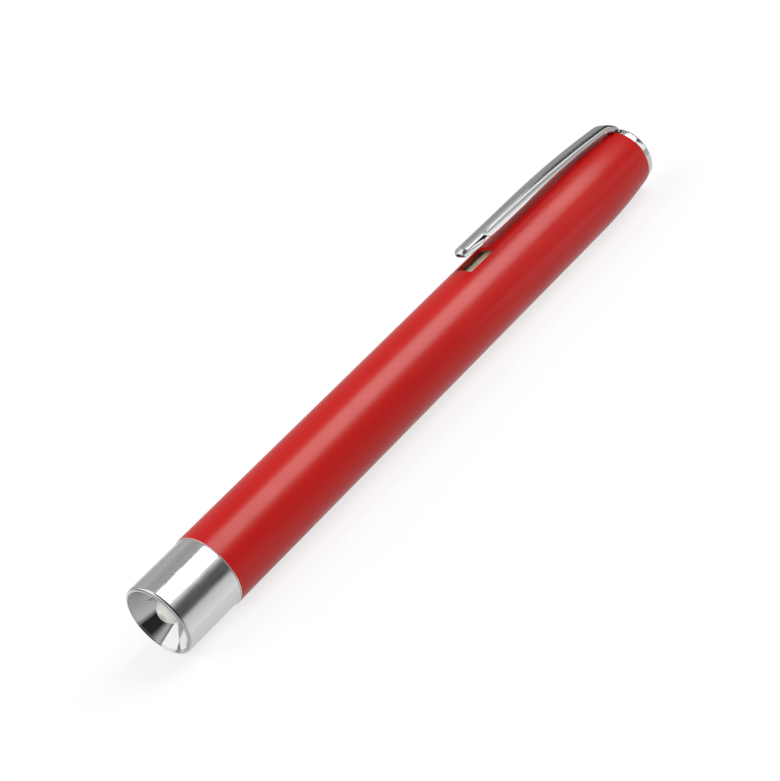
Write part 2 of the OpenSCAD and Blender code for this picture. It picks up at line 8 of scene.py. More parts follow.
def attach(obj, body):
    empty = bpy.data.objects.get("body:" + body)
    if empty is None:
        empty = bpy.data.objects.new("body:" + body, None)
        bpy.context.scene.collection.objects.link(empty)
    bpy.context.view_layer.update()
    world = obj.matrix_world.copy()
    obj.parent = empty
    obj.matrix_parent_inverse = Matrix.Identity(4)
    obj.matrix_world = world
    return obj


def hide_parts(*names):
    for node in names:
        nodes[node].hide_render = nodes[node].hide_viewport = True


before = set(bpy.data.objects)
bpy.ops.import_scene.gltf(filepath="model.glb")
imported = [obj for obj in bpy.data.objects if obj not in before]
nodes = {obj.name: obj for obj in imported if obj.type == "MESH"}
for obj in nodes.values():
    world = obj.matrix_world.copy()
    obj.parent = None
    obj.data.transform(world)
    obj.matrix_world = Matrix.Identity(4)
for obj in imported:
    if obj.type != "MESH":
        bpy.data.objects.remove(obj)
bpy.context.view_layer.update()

# Up to the camera, sizes are in millimetres: stations along the pen from its front rim, and distances from its axis.
MM = 0.001
MID = 68.24  # station of the frame's origin
AXIS = 7.0  # height of the axis
NEAR = 0.01  # what counts as the same place

# Stations
X_JOINT, X_THREAD, X_SPIGOT = 12.5, 13.1, 18.6
X_LED_SEAT, X_LED_BACK, X_POCKET = 8.6, 9.6, 5.2
X_CELLS_END, X_SEAT = 106.9, 117.4
X_TAPER, X_SHOULDER, X_TAIL, X_END, X_BACK = 119.0, 121.8, 134.5, 135.0, 136.48

# Radii
BARREL_R, BORE_R, TAIL_R, TAIL_BORE_R = 7.0, 6.3, 6.0, 4.75
HEAD_R, MOUTH_R, THROAT_R, BOWL_DEPTH = 6.825, 6.15, 2.6, 6.4
SPIGOT_R, SPIGOT_BORE_R = 5.25, 4.65
CAP_R, PLUG_R = 5.7, 4.73

# Window
X_WINDOW, WINDOW_LEN, WINDOW_W, WINDOW_CORNER = 87.6, 7.4, 4.0, 0.5

# Rivet
RIVET_Z, RIVET_R, RIVET_HEAD_R, X_RIVET, X_RIVET_HEAD = 2.544, 0.55, 0.95, 133.5, 136.25


def at(x, y, z):
    """A point in the frame, from station, side and height over the axis."""
    return Vector((x - MID, y, z + AXIS)) * MM


def from_frame(p):
    """Station, side and height over the axis of a point in the frame."""
    return p.x / MM + MID, p.y / MM, p.z / MM - AXIS


# Number helpers


def stations(x0, x1, count):
    return [x0 + (x1 - x0) * i / count for i in range(count + 1)]


def past(x, start, length):
    """Share of a length that lies behind x, from 0 to 1."""
    return max(0.0, min(1.0, (x - start) / length))


def eased(u):
    return u * u * (3 - 2 * u)


def bulge(u):
    """Quarter round that starts steeply at 0 and levels out at 1."""
    return math.sqrt(1 - (1 - u) ** 2)


def between(table, x):
    """Value at a station, from a table of stations and values."""
    for (x0, v0), (x1, v1) in zip(table, table[1:]):
        if x <= x1:
            return v0 + (v1 - v0) * (x - x0) / (x1 - x0)
    return table[-1][1]


def circle(count):
    return [math.tau * i / count for i in range(count)]


# Mesh helpers; points closer than this many metres become one
WELD = 2e-7


def fillet(corners, steps=6):
    """Closed outline through corners of station, radius and, where given, rounding."""
    outline = []
    for i, (x, r, *rounding) in enumerate(corners):
        p = Vector((x, r))
        if not rounding:
            outline.append(p)
            continue
        a = (Vector(corners[i - 1][:2]) - p).normalized()
        b = (Vector(corners[(i + 1) % len(corners)][:2]) - p).normalized()
        half = a.angle(b) / 2
        centre = p + (a + b).normalized() * rounding[0] / math.sin(half)
        start = p + a * rounding[0] / math.tan(half) - centre
        stop = p + b * rounding[0] / math.tan(half) - centre
        for s in range(steps + 1):
            outline.append(centre + start.lerp(stop, s / steps).normalized() * rounding[0])
    return outline


def loft(rings, round_trip=False):
    """Skin through rings of equally many points, with its ends closed or joined to each other."""
    bm = bmesh.new()
    loops = [[bm.verts.new(p) for p in ring] for ring in rings]
    n = len(rings[0])
    pairs = list(zip(loops, loops[1:]))
    if round_trip:
        pairs.append((loops[-1], loops[0]))
    else:
        bm.faces.new(loops[0])
        bm.faces.new(loops[-1])
    for a, b in pairs:
        for i in range(n):
            j = (i + 1) % n
            bm.faces.new((a[i], a[j], b[j], b[i]))
    return bm


def turned(outline, segments=192, swell=None, z=0.0):
    """Solid turned about a line along the pen, where swell can add to the radius."""
    rings = []
    for a in circle(segments):
        ring = []
        for x, r in outline:
            r += swell(x, r, a) if swell else 0
            ring.append(at(x, r * math.sin(a), z - r * math.cos(a)))
        rings.append(ring)
    return loft(rings, round_trip=True)


def rectangle(x0, x1, half, *rounding):
    """Corners of station and side, with a rounding where one is given."""
    return [(x, y, *rounding) for x, y in ((x0, -half), (x1, -half), (x1, half), (x0, half))]


def prism(outline, heights):
    """Solid on an outline of station and side, between two heights."""
    return loft([[at(x, y, z) for x, y in outline] for z in heights])


def as_object(name, bm):
    """Object of the mesh in bm, welded and with its faces turned outwards."""
    bmesh.ops.remove_doubles(bm, verts=bm.verts, dist=WELD)
    bmesh.ops.recalc_face_normals(bm, faces=bm.faces)
    mesh = bpy.data.meshes.new(name)
    bm.to_mesh(mesh)
    bm.free()
    obj = bpy.data.objects.new(name, mesh)
    bpy.context.scene.collection.objects.link(obj)
    return obj


def cut_away(obj, bm):
    """Takes the solid in bm out of obj's mesh."""
    tool = as_object("tool", bm)
    cutting = obj.modifiers.new("cutting", "BOOLEAN")
    cutting.operation = "DIFFERENCE"
    cutting.solver = "EXACT"
    cutting.object = tool
    graph = bpy.context.evaluated_depsgraph_get()
    result = bpy.data.meshes.new_from_object(obj.evaluated_get(graph))
    obj.modifiers.clear()
    obj.data = result
    bpy.data.objects.remove(tool)


def soften_edges(obj, chosen, width, steps=3, angle=40):
    """Rounds those sharp edges of obj whose middle the test accepts."""
    bm = bmesh.new()
    bm.from_mesh(obj.data)
    edges = [e for e in bm.edges if len(e.link_faces) == 2
             and e.calc_face_angle() > math.radians(angle)
             and chosen(*from_frame((e.verts[0].co + e.verts[1].co) / 2))]
    bmesh.ops.bevel(bm, geom=edges, offset=width * MM, segments=steps, profile=0.5, affect="EDGES",
                    clamp_overlap=True)
    bm.to_mesh(obj.data)
    bm.free()


def dress(obj, body, materials, replaced, sharp=32):
    """Smooth shading, materials, and the body, slot and node that the piece belongs to."""
    obj.data.materials.clear()
    for m in materials:
        obj.data.materials.append(m)
    obj.data.shade_smooth()
    obj.data.set_sharp_from_angle(angle=math.radians(sharp))
    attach(obj, body)
    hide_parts(replaced)


def second_material(obj, chosen):
    """Gives obj's second material to the faces that the test accepts."""
    for face in obj.data.polygons:
        face.material_index = int(chosen(*from_frame(face.center), face.normal))


# Material helpers
WHITE = (1, 1, 1, 1)


def material(name, colour, metallic=0.0, roughness=0.4, extra=None):
    mat = bpy.data.materials.new(name)
    mat.use_nodes = True
    mat.diffuse_color = (*colour, 1)
    shader = shader_of(mat)
    shader.inputs["Base Color"].default_value = (*colour, 1)
    shader.inputs["Metallic"].default_value = metallic
    shader.inputs["Roughness"].default_value = roughness
    for socket, value in (extra or {}).items():
        shader.inputs[socket].default_value = value
    return mat


def shader_of(mat):
    return mat.node_tree.nodes["Principled BSDF"]


def add(owner, kind, inputs=None, **settings):
    """New node in the tree of a material or world, with each input linked or set."""
    n = owner.node_tree.nodes.new(kind)
    for key, value in settings.items():
        setattr(n, key, value)
    for key, value in (inputs or {}).items():
        if isinstance(value, bpy.types.NodeSocket):
            owner.node_tree.links.new(value, n.inputs[key])
        else:
            n.inputs[key].default_value = value
    return n


def place(mat):
    """The object's own coordinates, in metres."""
    return add(mat, "ShaderNodeTexCoord").outputs["Object"]


def turned_place(mat):
    """Coordinates of station and distance from the axis, for lines that run round the pen."""
    split = add(mat, "ShaderNodeSeparateXYZ", {0: place(mat)})
    height = add(mat, "ShaderNodeMath", {0: split.outputs["Z"], 1: AXIS * MM}, operation="SUBTRACT")
    flat = add(mat, "ShaderNodeCombineXYZ", {0: split.outputs["Y"], 1: height.outputs[0]})
    radius = add(mat, "ShaderNodeVectorMath", {0: flat.outputs[0]}, operation="LENGTH")
    return add(mat, "ShaderNodeCombineXYZ", {0: split.outputs["X"], 1: radius.outputs["Value"]}).outputs[0]


def grain(mat, scale, detail=3.0, roughness=0.5, where=None):
    """Noise with so many features to the metre along each axis."""
    scales = scale if isinstance(scale, tuple) else (scale,) * 3
    mapped = add(mat, "ShaderNodeMapping", {"Vector": where or place(mat), "Scale": scales})
    return add(mat, "ShaderNodeTexNoise", {"Vector": mapped.outputs[0], "Scale": 1.0, "Detail": detail,
                                           "Roughness": roughness}).outputs[0]


def spread(mat, factor, low, high, start=0.3, stop=0.7):
    """Value that runs from low to high while the factor goes from start to stop."""
    return add(mat, "ShaderNodeMapRange", {"Value": factor, "From Min": start, "From Max": stop,
                                           "To Min": low, "To Max": high}, interpolation_type="SMOOTHSTEP").outputs[0]


def tint(mat, factor, first, second, start=0.3, stop=0.7):
    """Base colour that runs from one colour to another with the factor."""
    mix = add(mat, "ShaderNodeMix", {0: spread(mat, factor, 0, 1, start, stop), 6: (*first, 1), 7: (*second, 1)},
              data_type="RGBA")
    mat.node_tree.links.new(mix.outputs[2], shader_of(mat).inputs["Base Color"])


def roughen(mat, factor, low, high, start=0.3, stop=0.7):
    mat.node_tree.links.new(spread(mat, factor, low, high, start, stop), shader_of(mat).inputs["Roughness"])


def relief(mat, factor, depth, strength=1.0):
    """Bump of a depth in millimetres, on top of any that the material has."""
    target = shader_of(mat).inputs["Normal"]
    inputs = {"Height": factor, "Distance": depth * MM, "Strength": strength}
    if target.links:
        inputs["Normal"] = target.links[0].from_socket
    bump = add(mat, "ShaderNodeBump", inputs)
    mat.node_tree.links.new(bump.outputs[0], target)


# Materials; the bowl is hazy inside a radius, and the lamp has a darker spot in its middle
HAZE_R, SPOT_R0, SPOT_R1 = 4.6, 0.4, 1.2

red_paint = material("red_paint", (0.585, 0.007, 0.006), 0.0, 0.28,
                     {"Specular IOR Level": 0.36, "Specular Tint": (1.0, 0.98, 0.91, 1)})
tint(red_paint, grain(red_paint, 70.0, 4.0), (0.565, 0.006, 0.005), (0.605, 0.008, 0.007))
roughen(red_paint, grain(red_paint, 160.0, 2.0), 0.28, 0.31)
relief(red_paint, grain(red_paint, 700.0, 2.0), 0.003, 0.05)

bare_metal = material("bare_metal", (0.90, 0.87, 0.80), 1.0, 0.34)
tint(bare_metal, grain(bare_metal, 900.0), (0.84, 0.80, 0.71), (0.95, 0.93, 0.88))
roughen(bare_metal, grain(bare_metal, 2600.0), 0.29, 0.42)
relief(bare_metal, grain(bare_metal, 6000.0, where=turned_place(bare_metal)), 0.004, 0.4)

chrome_head = material("chrome_head", (0.86, 0.86, 0.865), 1.0, 0.10)
tint(chrome_head, grain(chrome_head, (50.0, 700.0, 700.0), 5.0, 0.6), (0.83, 0.83, 0.84), (0.89, 0.89, 0.89))
roughen(chrome_head, grain(chrome_head, (400.0, 1400.0, 1400.0), 5.0, 0.6), 0.09, 0.19)
relief(chrome_head, grain(chrome_head, (90.0, 2200.0, 2200.0), 3.0, 0.6), 0.003, 0.12)
relief(chrome_head, grain(chrome_head, (500.0, 700.0, 700.0), 2.0, 0.5), 0.010, 0.02)

chrome_bowl = material("chrome_bowl", (0.88, 0.88, 0.875), 1.0, 0.07)
bowl_place = add(chrome_bowl, "ShaderNodeSeparateXYZ", {0: turned_place(chrome_bowl)})
roughen(chrome_bowl, bowl_place.outputs["Y"], 0.22, 0.07, THROAT_R * MM, HAZE_R * MM)
tint(chrome_bowl, grain(chrome_bowl, 300.0), (0.85, 0.85, 0.845), (0.90, 0.90, 0.895))
relief(chrome_bowl, grain(chrome_bowl, 4000.0, 2.0, where=turned_place(chrome_bowl)), 0.002, 0.2)

chrome_clip = material("chrome_clip", (0.86, 0.86, 0.865), 1.0, 0.13)
tint(chrome_clip, grain(chrome_clip, (60.0, 1200.0, 1200.0), 4.0), (0.83, 0.83, 0.835), (0.89, 0.89, 0.895))
roughen(chrome_clip, grain(chrome_clip, (150.0, 1500.0, 1500.0), 3.0), 0.11, 0.16)
relief(chrome_clip, grain(chrome_clip, (80.0, 1500.0, 1500.0), 2.0), 0.003, 0.06)

# Clip's hollow: rougher than the chrome, and darker than metal is, as painted shade inside the channel
clip_hollow_satin_shade = material("clip_hollow_satin_shade", (0.30, 0.30, 0.31), 1.0, 0.42)
tint(clip_hollow_satin_shade, grain(clip_hollow_satin_shade, (80.0, 900.0, 900.0), 4.0), (0.24, 0.24, 0.25), (0.37, 0.37, 0.38))
roughen(clip_hollow_satin_shade, grain(clip_hollow_satin_shade, 1500.0, 4.0), 0.34, 0.52)
relief(clip_hollow_satin_shade, grain(clip_hollow_satin_shade, (120.0, 2500.0, 2500.0), 3.0), 0.005, 0.4)

chrome_cap = material("chrome_cap", (0.84, 0.84, 0.85), 1.0, 0.11)
tint(chrome_cap, grain(chrome_cap, 400.0, 4.0), (0.81, 0.81, 0.82), (0.87, 0.87, 0.875))
roughen(chrome_cap, grain(chrome_cap, 2200.0, 4.0), 0.08, 0.17)
relief(chrome_cap, grain(chrome_cap, 5000.0, 2.0, where=turned_place(chrome_cap)), 0.003, 0.3)

steel = material("steel", (0.66, 0.66, 0.67), 1.0, 0.28)
tint(steel, grain(steel, 500.0, 4.0), (0.60, 0.60, 0.61), (0.72, 0.72, 0.725))
roughen(steel, grain(steel, (300.0, 2500.0, 2500.0), 4.0), 0.28, 0.38)
relief(steel, grain(steel, (200.0, 4000.0, 4000.0)), 0.003, 0.3)

brass = material("brass", (0.78, 0.60, 0.27), 1.0, 0.27)
tint(brass, grain(brass, 450.0, 4.0), (0.70, 0.52, 0.22), (0.84, 0.66, 0.32))
roughen(brass, grain(brass, 1800.0, 4.0), 0.28, 0.38)
relief(brass, grain(brass, 4500.0, where=turned_place(brass)), 0.003, 0.35)

dull_brass = material("dull_brass", (0.70, 0.66, 0.44), 0.25, 0.45)
tint(dull_brass, grain(dull_brass, 550.0, 5.0, 0.6), (0.60, 0.56, 0.36), (0.78, 0.74, 0.52))
roughen(dull_brass, grain(dull_brass, 1500.0, 4.0), 0.34, 0.54)
relief(dull_brass, grain(dull_brass, (250.0, 3500.0, 3500.0)), 0.004, 0.4)

# Kraft liner, darker than kraft paper is: painted shade for the barrel's inside seen through the window
shaded_kraft = material("kraft_liner", (0.26, 0.15, 0.09), 0.0, 0.85)
tint(shaded_kraft, grain(shaded_kraft, (250.0, 1400.0, 1400.0), 6.0, 0.65), (0.20, 0.11, 0.065), (0.32, 0.19, 0.12))
roughen(shaded_kraft, grain(shaded_kraft, 900.0), 0.75, 0.95)
relief(shaded_kraft, grain(shaded_kraft, (400.0, 2600.0, 2600.0), 5.0), 0.02, 0.5)

black_plastic = material("black_plastic", (0.030, 0.030, 0.033), 0.0, 0.55)
tint(black_plastic, grain(black_plastic, 700.0, 4.0), (0.022, 0.022, 0.025), (0.045, 0.045, 0.048))
roughen(black_plastic, grain(black_plastic, 1300.0), 0.45, 0.68)
relief(black_plastic, grain(black_plastic, 2800.0), 0.01, 0.4)

epoxy = material("lamp_epoxy", (0.97, 0.96, 0.87), 0.0, 0.16, {"IOR": 1.52, "Transmission Weight": 0.08})
roughen(epoxy, grain(epoxy, 1500.0), 0.12, 0.22)
epoxy_middle = add(epoxy, "ShaderNodeSeparateXYZ", {0: turned_place(epoxy)})
tint(epoxy, epoxy_middle.outputs["Y"], (0.60, 0.61, 0.54), (1.0, 0.99, 0.91), SPOT_R0 * MM, SPOT_R1 * MM)
relief(epoxy, grain(epoxy, 800.0), 0.006, 0.1)

phosphor = material("phosphor", (0.90, 0.78, 0.25), 0.0, 0.8)
tint(phosphor, grain(phosphor, 5000.0, 4.0), (0.80, 0.64, 0.14), (0.96, 0.86, 0.36))
relief(phosphor, grain(phosphor, 9000.0), 0.01, 0.5)

ivory = material("ivory_plastic", (0.86, 0.83, 0.74), 0.0, 0.42)
tint(ivory, grain(ivory, 350.0, 4.0), (0.82, 0.78, 0.68), (0.89, 0.86, 0.78))
roughen(ivory, grain(ivory, 1400.0), 0.34, 0.5)
relief(ivory, grain(ivory, 2500.0), 0.006, 0.3)

board = material("board", (0.03, 0.20, 0.09), 0.0, 0.36)
weave = add(board, "ShaderNodeTexBrick", {"Vector": place(board), "Scale": 900.0})
tint(board, weave.outputs[1], (0.022, 0.16, 0.07), (0.04, 0.24, 0.11), 0.0, 1.0)
roughen(board, grain(board, 900.0), 0.28, 0.46)
relief(board, weave.outputs[1], 0.004, 0.3)

solder = material("solder", (0.72, 0.72, 0.73), 1.0, 0.22)
tint(solder, grain(solder, 1800.0, 4.0), (0.62, 0.62, 0.63), (0.80, 0.80, 0.81))
roughen(solder, grain(solder, 2400.0), 0.12, 0.26)
relief(solder, grain(solder, 3000.0, 4.0), 0.02, 0.5)

resistor_body = material("resistor_body", (0.03, 0.03, 0.035), 0.0, 0.45)
tint(resistor_body, grain(resistor_body, 3000.0), (0.02, 0.02, 0.024), (0.05, 0.05, 0.055))
roughen(resistor_body, grain(resistor_body, 2000.0), 0.35, 0.6)
relief(resistor_body, grain(resistor_body, 4500.0), 0.01, 0.4)

cell_label = material("cell_label", (0.16, 0.20, 0.26), 0.1, 0.3, {"Coat Weight": 0.4, "Coat Roughness": 0.15})
tint(cell_label, grain(cell_label, (40.0, 300.0, 300.0), 4.0), (0.13, 0.17, 0.23), (0.19, 0.23, 0.30))
roughen(cell_label, grain(cell_label, 1100.0, 4.0), 0.28, 0.4)
relief(cell_label, grain(cell_label, 500.0), 0.01, 0.15)

cell_core = material("cell_core", (0.05, 0.05, 0.05), 0.0, 0.9)
tint(cell_core, grain(cell_core, 2600.0, 5.0), (0.03, 0.03, 0.03), (0.085, 0.08, 0.075))
relief(cell_core, grain(cell_core, 3600.0, 4.0), 0.04, 0.6)

cell_seal = material("cell_seal", (0.10, 0.10, 0.10), 0.0, 0.6)
tint(cell_seal, grain(cell_seal, 800.0), (0.07, 0.07, 0.072), (0.13, 0.13, 0.13))
roughen(cell_seal, grain(cell_seal, 1500.0), 0.5, 0.72)
relief(cell_seal, grain(cell_seal, 2500.0), 0.008, 0.3)

node_finish = {
    "thread_bush": brass, "liner_sleeve": shaded_kraft, "spring_seat": brass,
    "tail_insulator": black_plastic, "retaining_ring": brass, "led_lead_frame": steel, "led_phosphor": phosphor,
    "lamp_holder": ivory, "circuit_board": board, "solder_joints": solder, "resistor": resistor_body,
    "front_contact": brass,
}
for end in ("front_cell", "rear_cell"):
    node_finish.update({end + "_label": cell_label, end + "_can": steel, end + "_core": cell_core,
                        end + "_seal": cell_seal, end + "_end_plate": steel})
for name, finish in node_finish.items():
    nodes[name].data.materials.clear()
    nodes[name].data.materials.append(finish)

# Barrel: a turned shell whose window is cut through its top
MOUTH_EDGE = ((0.0, 6.85), (0.05, 6.91), (0.10, 6.96), (0.15, BARREL_R))
TAIL_ROUND, BARE_EDGE = 0.5, 0.12
X_BODY, X_BODY_END, X_BORE, X_BORE_END = 14.0, 118.5, 20.0, 112.0
WINDOW_CUT_Z = (3.0, 9.0)
RIM_MARGIN_X, RIM_MARGIN_Y, RIM_DEPTH, RIM_ROUND = 0.6, 0.2, 0.1, 0.09


def taper_r(x):
    """Outer radius along the tail's taper."""
    u = max(0.0, (x - X_TAPER) / (X_TAIL - X_TAPER))
    return BARREL_R - (BARREL_R - TAIL_R) * u * u


def on_window_rim(x, y, z):
    """Whether a point lies by the window's outer edge."""
    along = X_WINDOW - RIM_MARGIN_X < x < X_WINDOW + WINDOW_LEN + RIM_MARGIN_X
    return along and abs(y) < WINDOW_W / 2 + RIM_MARGIN_Y and math.hypot(y, z) > BARREL_R - RIM_DEPTH


tail_edge = [(X_TAIL + TAIL_ROUND * math.sin(a), TAIL_R - TAIL_ROUND + TAIL_ROUND * math.cos(a))
             for a in (math.radians(d) for d in (15, 30, 45, 60, 75, 90))]
barrel_outline = [(X_JOINT, BORE_R)] + [(X_JOINT + x, r) for x, r in MOUTH_EDGE]
barrel_outline += [(x, BARREL_R) for x in stations(X_BODY, X_BODY_END, 30)]
barrel_outline += [(x, taper_r(x)) for x in stations(X_TAPER, X_TAIL, 40)] + tail_edge
barrel_outline += [(X_END, TAIL_BORE_R), (X_SHOULDER, TAIL_BORE_R), (X_SHOULDER, BORE_R)]
barrel_outline += [(x, BORE_R) for x in stations(X_BORE_END, X_BORE, 16)]
barrel = as_object("barrel_shell", turned(barrel_outline, 256))
window_outline = fillet(rectangle(X_WINDOW, X_WINDOW + WINDOW_LEN, WINDOW_W / 2, WINDOW_CORNER), 8)
cut_away(barrel, prism(window_outline, WINDOW_CUT_Z))
soften_edges(barrel, on_window_rim, RIM_ROUND)
dress(barrel, "barrel", [red_paint, bare_metal], "barrel_tube")
second_material(barrel, lambda x, y, z, normal: x < X_JOINT + BARE_EDGE or x > X_END - BARE_EDGE)

# Contact strip: a curved leaf that is wider under the window and has a tab turned down at its tail
STRIP_R0, STRIP_R1, STRIP_W, STRIP_CORNER, STRIP_ROUND = 5.45, 5.75, 3.6, 0.7, 0.05
PADDLE_W, X_PADDLE, PADDLE_FADE = 5.2, 96.4, 2.5
X_STRIP, X_STRIP_PLAIN, X_TAB, X_STRIP_END, Z_TAB = 86.4, 101.0, 117.8, 118.1, 4.05
TAB_STEP, TAB_MARGIN = 0.02, 0.1


def strip_half(x):
    """Half of the strip's width, with its front corners rounded."""
    width = PADDLE_W + (STRIP_W - PADDLE_W) * eased(past(x, X_PADDLE, PADDLE_FADE))
    v = max(0.0, 1 - (x - X_STRIP) / STRIP_CORNER)
    return width / 2 - STRIP_CORNER * (1 - math.sqrt(1 - v * v))


def strip_section(x, tab=False):
    half = strip_half(x)
    sides = stations(-half, half, 16)
    over = [at(x, y, math.sqrt(STRIP_R1 ** 2 - y * y)) for y in sides]
    return over + [at(x, y, Z_TAB if tab else math.sqrt(STRIP_R0 ** 2 - y * y)) for y in reversed(sides)]


strip_x = [X_STRIP + STRIP_CORNER * (i / 8) ** 2 for i in range(9)] + stations(X_WINDOW, X_PADDLE, 8)
strip_x += stations(X_PADDLE + PADDLE_FADE / 10, X_PADDLE + PADDLE_FADE, 9)
strip_x += stations(X_STRIP_PLAIN, X_TAB - TAB_STEP, 12)
strip_rings = [strip_section(x) for x in strip_x] + [strip_section(x, tab=True) for x in (X_TAB, X_STRIP_END)]
strip = as_object("contact_leaf", loft(strip_rings))
soften_edges(strip, lambda x, y, z: x < X_TAB - TAB_MARGIN, STRIP_ROUND, 2)
dress(strip, "barrel", [dull_brass], "contact_strip")

# Head: shell, bowl and threaded spigot in one turned piece
PITCH, TURNS, THREAD_DEPTH, THREAD_BASE, THREAD_TIP, THREAD_FADE = 1.0, 5, 0.4, 0.6, 0.25, 0.25
LED_SEAT_R, SPIGOT_CHAMFER, NECK_STEP = 3.0, 0.15, 0.5
LIP_ROUND, LIP_STEP, THROAT_ROUND, SHOULDER_ROUND, FRONT_ROUND = 0.06, 0.07, 0.15, 0.15, 0.55


def thread_swell(x, r, a):
    """Height of the helical ridge over the spigot."""
    if abs(r - SPIGOT_R) > NEAR or not X_JOINT < x < X_SPIGOT:
        return 0
    turn = a / math.tau
    turn += round((x - X_THREAD) / PITCH - turn)
    away = abs(x - X_THREAD - PITCH * turn)
    fade = max(0.0, min(1.0, turn / THREAD_FADE, (TURNS - turn) / THREAD_FADE))
    return THREAD_DEPTH * fade * max(0.0, min(1.0, (THREAD_BASE / 2 - away) / ((THREAD_BASE - THREAD_TIP) / 2)))


head_outline = fillet([(0, MOUTH_R, LIP_ROUND), (BOWL_DEPTH, THROAT_R, THROAT_ROUND), (X_LED_SEAT, THROAT_R),
                       (X_LED_SEAT, LED_SEAT_R), (X_LED_BACK, LED_SEAT_R), (X_LED_BACK, SPIGOT_BORE_R),
                       (X_SPIGOT, SPIGOT_BORE_R), (X_SPIGOT, SPIGOT_R - SPIGOT_CHAMFER)])
head_outline += [Vector((x, SPIGOT_R)) for x in stations(X_SPIGOT - SPIGOT_CHAMFER, X_JOINT, 118)]
head_outline += fillet([(X_JOINT, SPIGOT_R + NECK_STEP), (X_JOINT, HEAD_R, SHOULDER_ROUND), (0, HEAD_R, FRONT_ROUND),
                        (0, MOUTH_R + LIP_STEP)], 10)[1:-1]
head = as_object("reflector", turned(head_outline, swell=thread_swell))
dress(head, "head", [chrome_head, chrome_bowl], "reflector_head")
second_material(head, lambda x, y, z, normal: x < X_LED_BACK and math.hypot(y, z) < MOUTH_R + NEAR)

# Lamp: a domed body with a flange, hollow behind for its lead frame
X_DOME, DOME_R, FLANGE_R, LENS_ROUND, POCKET_R, POCKET_ROUND = 3.5, 2.5, 2.9, 0.1, 1.7, 0.5
dome = [Vector((X_DOME - DOME_R * math.cos(a), DOME_R * math.sin(a))) for a in (math.radians(3 * i) for i in range(31))]
lens_outline = dome + fillet([(X_LED_SEAT, DOME_R, LENS_ROUND), (X_LED_SEAT, FLANGE_R, LENS_ROUND),
                              (X_LED_BACK, FLANGE_R, LENS_ROUND), (X_LED_BACK, POCKET_R),
                              (X_POCKET, POCKET_R, POCKET_ROUND), (X_POCKET, 0.0)])
lens = as_object("lamp_lens", turned(lens_outline, 128))
dress(lens, "lamp_insert", [epoxy], "led_lens")

# Tail cap: ring and plug, slotted for the clip's foot and bored for its rivet
X_PLUG, PLUG_ROUND, RING_ROUND, BACK_ROUND = X_END - 6, 0.3, 0.08, 0.4
X_DISH, DISH_R0, DISH_R1, DISH_ROUND = X_BACK - 0.06, 4.6, 4.5, 0.3
X_FOOT_SLOT, FOOT_SLOT_HALF, FOOT_SLOT_Z, CUT = 135.98, 1.74, (1.154, 8.0), 0.001
RIVET_BORE_R, RIVET_SEAT_R, X_RIVET_SEAT, X_RIVET_CUT = 0.57, 0.97, 136.23, 137.5
cap_outline = fillet([(X_PLUG, 0), (X_PLUG, PLUG_R, PLUG_ROUND), (X_END, PLUG_R), (X_END, CAP_R, RING_ROUND),
                      (X_BACK, CAP_R, BACK_ROUND), (X_BACK, DISH_R0, DISH_ROUND), (X_DISH, DISH_R1, DISH_ROUND),
                      (X_DISH, 0)], 8)
cap = as_object("tail_ring", turned(cap_outline))
cut_away(cap, prism(rectangle(X_END - CUT, X_FOOT_SLOT, FOOT_SLOT_HALF), FOOT_SLOT_Z))
cut_away(cap, turned([(X_RIVET, 0), (X_RIVET, RIVET_BORE_R), (X_RIVET_SEAT, RIVET_BORE_R), (X_RIVET_SEAT, RIVET_SEAT_R),
                      (X_RIVET_CUT, RIVET_SEAT_R), (X_RIVET_CUT, 0)], 48, z=RIVET_Z))
dress(cap, "barrel", [chrome_cap], "tail_cap")

# Rivet: a plain shank and a flat head with a small dimple
RIVET_ROUND, RIVET_RIM_ROUND, RIVET_FLAT_R, DIMPLE_R0, DIMPLE_R1, X_DIMPLE = 0.1, 0.05, 0.7, 0.34, 0.2, X_BACK - 0.1
rivet_outline = fillet([(X_RIVET, 0), (X_RIVET, RIVET_R, RIVET_ROUND), (X_RIVET_HEAD, RIVET_R),
                        (X_RIVET_HEAD, RIVET_HEAD_R), (X_DISH, RIVET_HEAD_R, RIVET_RIM_ROUND),
                        (X_BACK, RIVET_FLAT_R, RIVET_ROUND), (X_BACK, DIMPLE_R0, RIVET_ROUND),
                        (X_DIMPLE, DIMPLE_R1, RIVET_ROUND), (X_DIMPLE, 0)])
rivet = as_object("foot_rivet", turned(rivet_outline, 64, z=RIVET_Z))
dress(rivet, "barrel", [steel], "clip_rivet")

# Tail spring: round wire with a closed turn at each end
WIRE_R, COIL_R, CLOSED, OPEN_COILS, COIL_GAP, COIL_STEPS = 0.3, 3.5, 0.75, 4, 0.02, 48


def coil_x(turn):
    """Advance along the spring after so many turns."""
    open_pitch = (X_SEAT - X_CELLS_END - 2 * (WIRE_R + COIL_GAP + CLOSED)) / OPEN_COILS
    closed_turns = min(turn, 1) + max(0, turn - 1 - OPEN_COILS)
    return CLOSED * closed_turns + open_pitch * max(0, min(turn - 1, OPEN_COILS))


def coil_ring(turn):
    a = math.tau * turn
    x = X_CELLS_END + WIRE_R + COIL_GAP + coil_x(turn)
    return [at(x + WIRE_R * math.sin(b), r * math.cos(a), r * math.sin(a))
            for b, r in ((b, COIL_R + WIRE_R * math.cos(b)) for b in circle(14))]


coil_rings = [coil_ring(i / COIL_STEPS) for i in range((OPEN_COILS + 2) * COIL_STEPS + 1)]
spring = as_object("coil_spring", loft(coil_rings))
dress(spring, "barrel", [steel], "tail_spring", sharp=50)

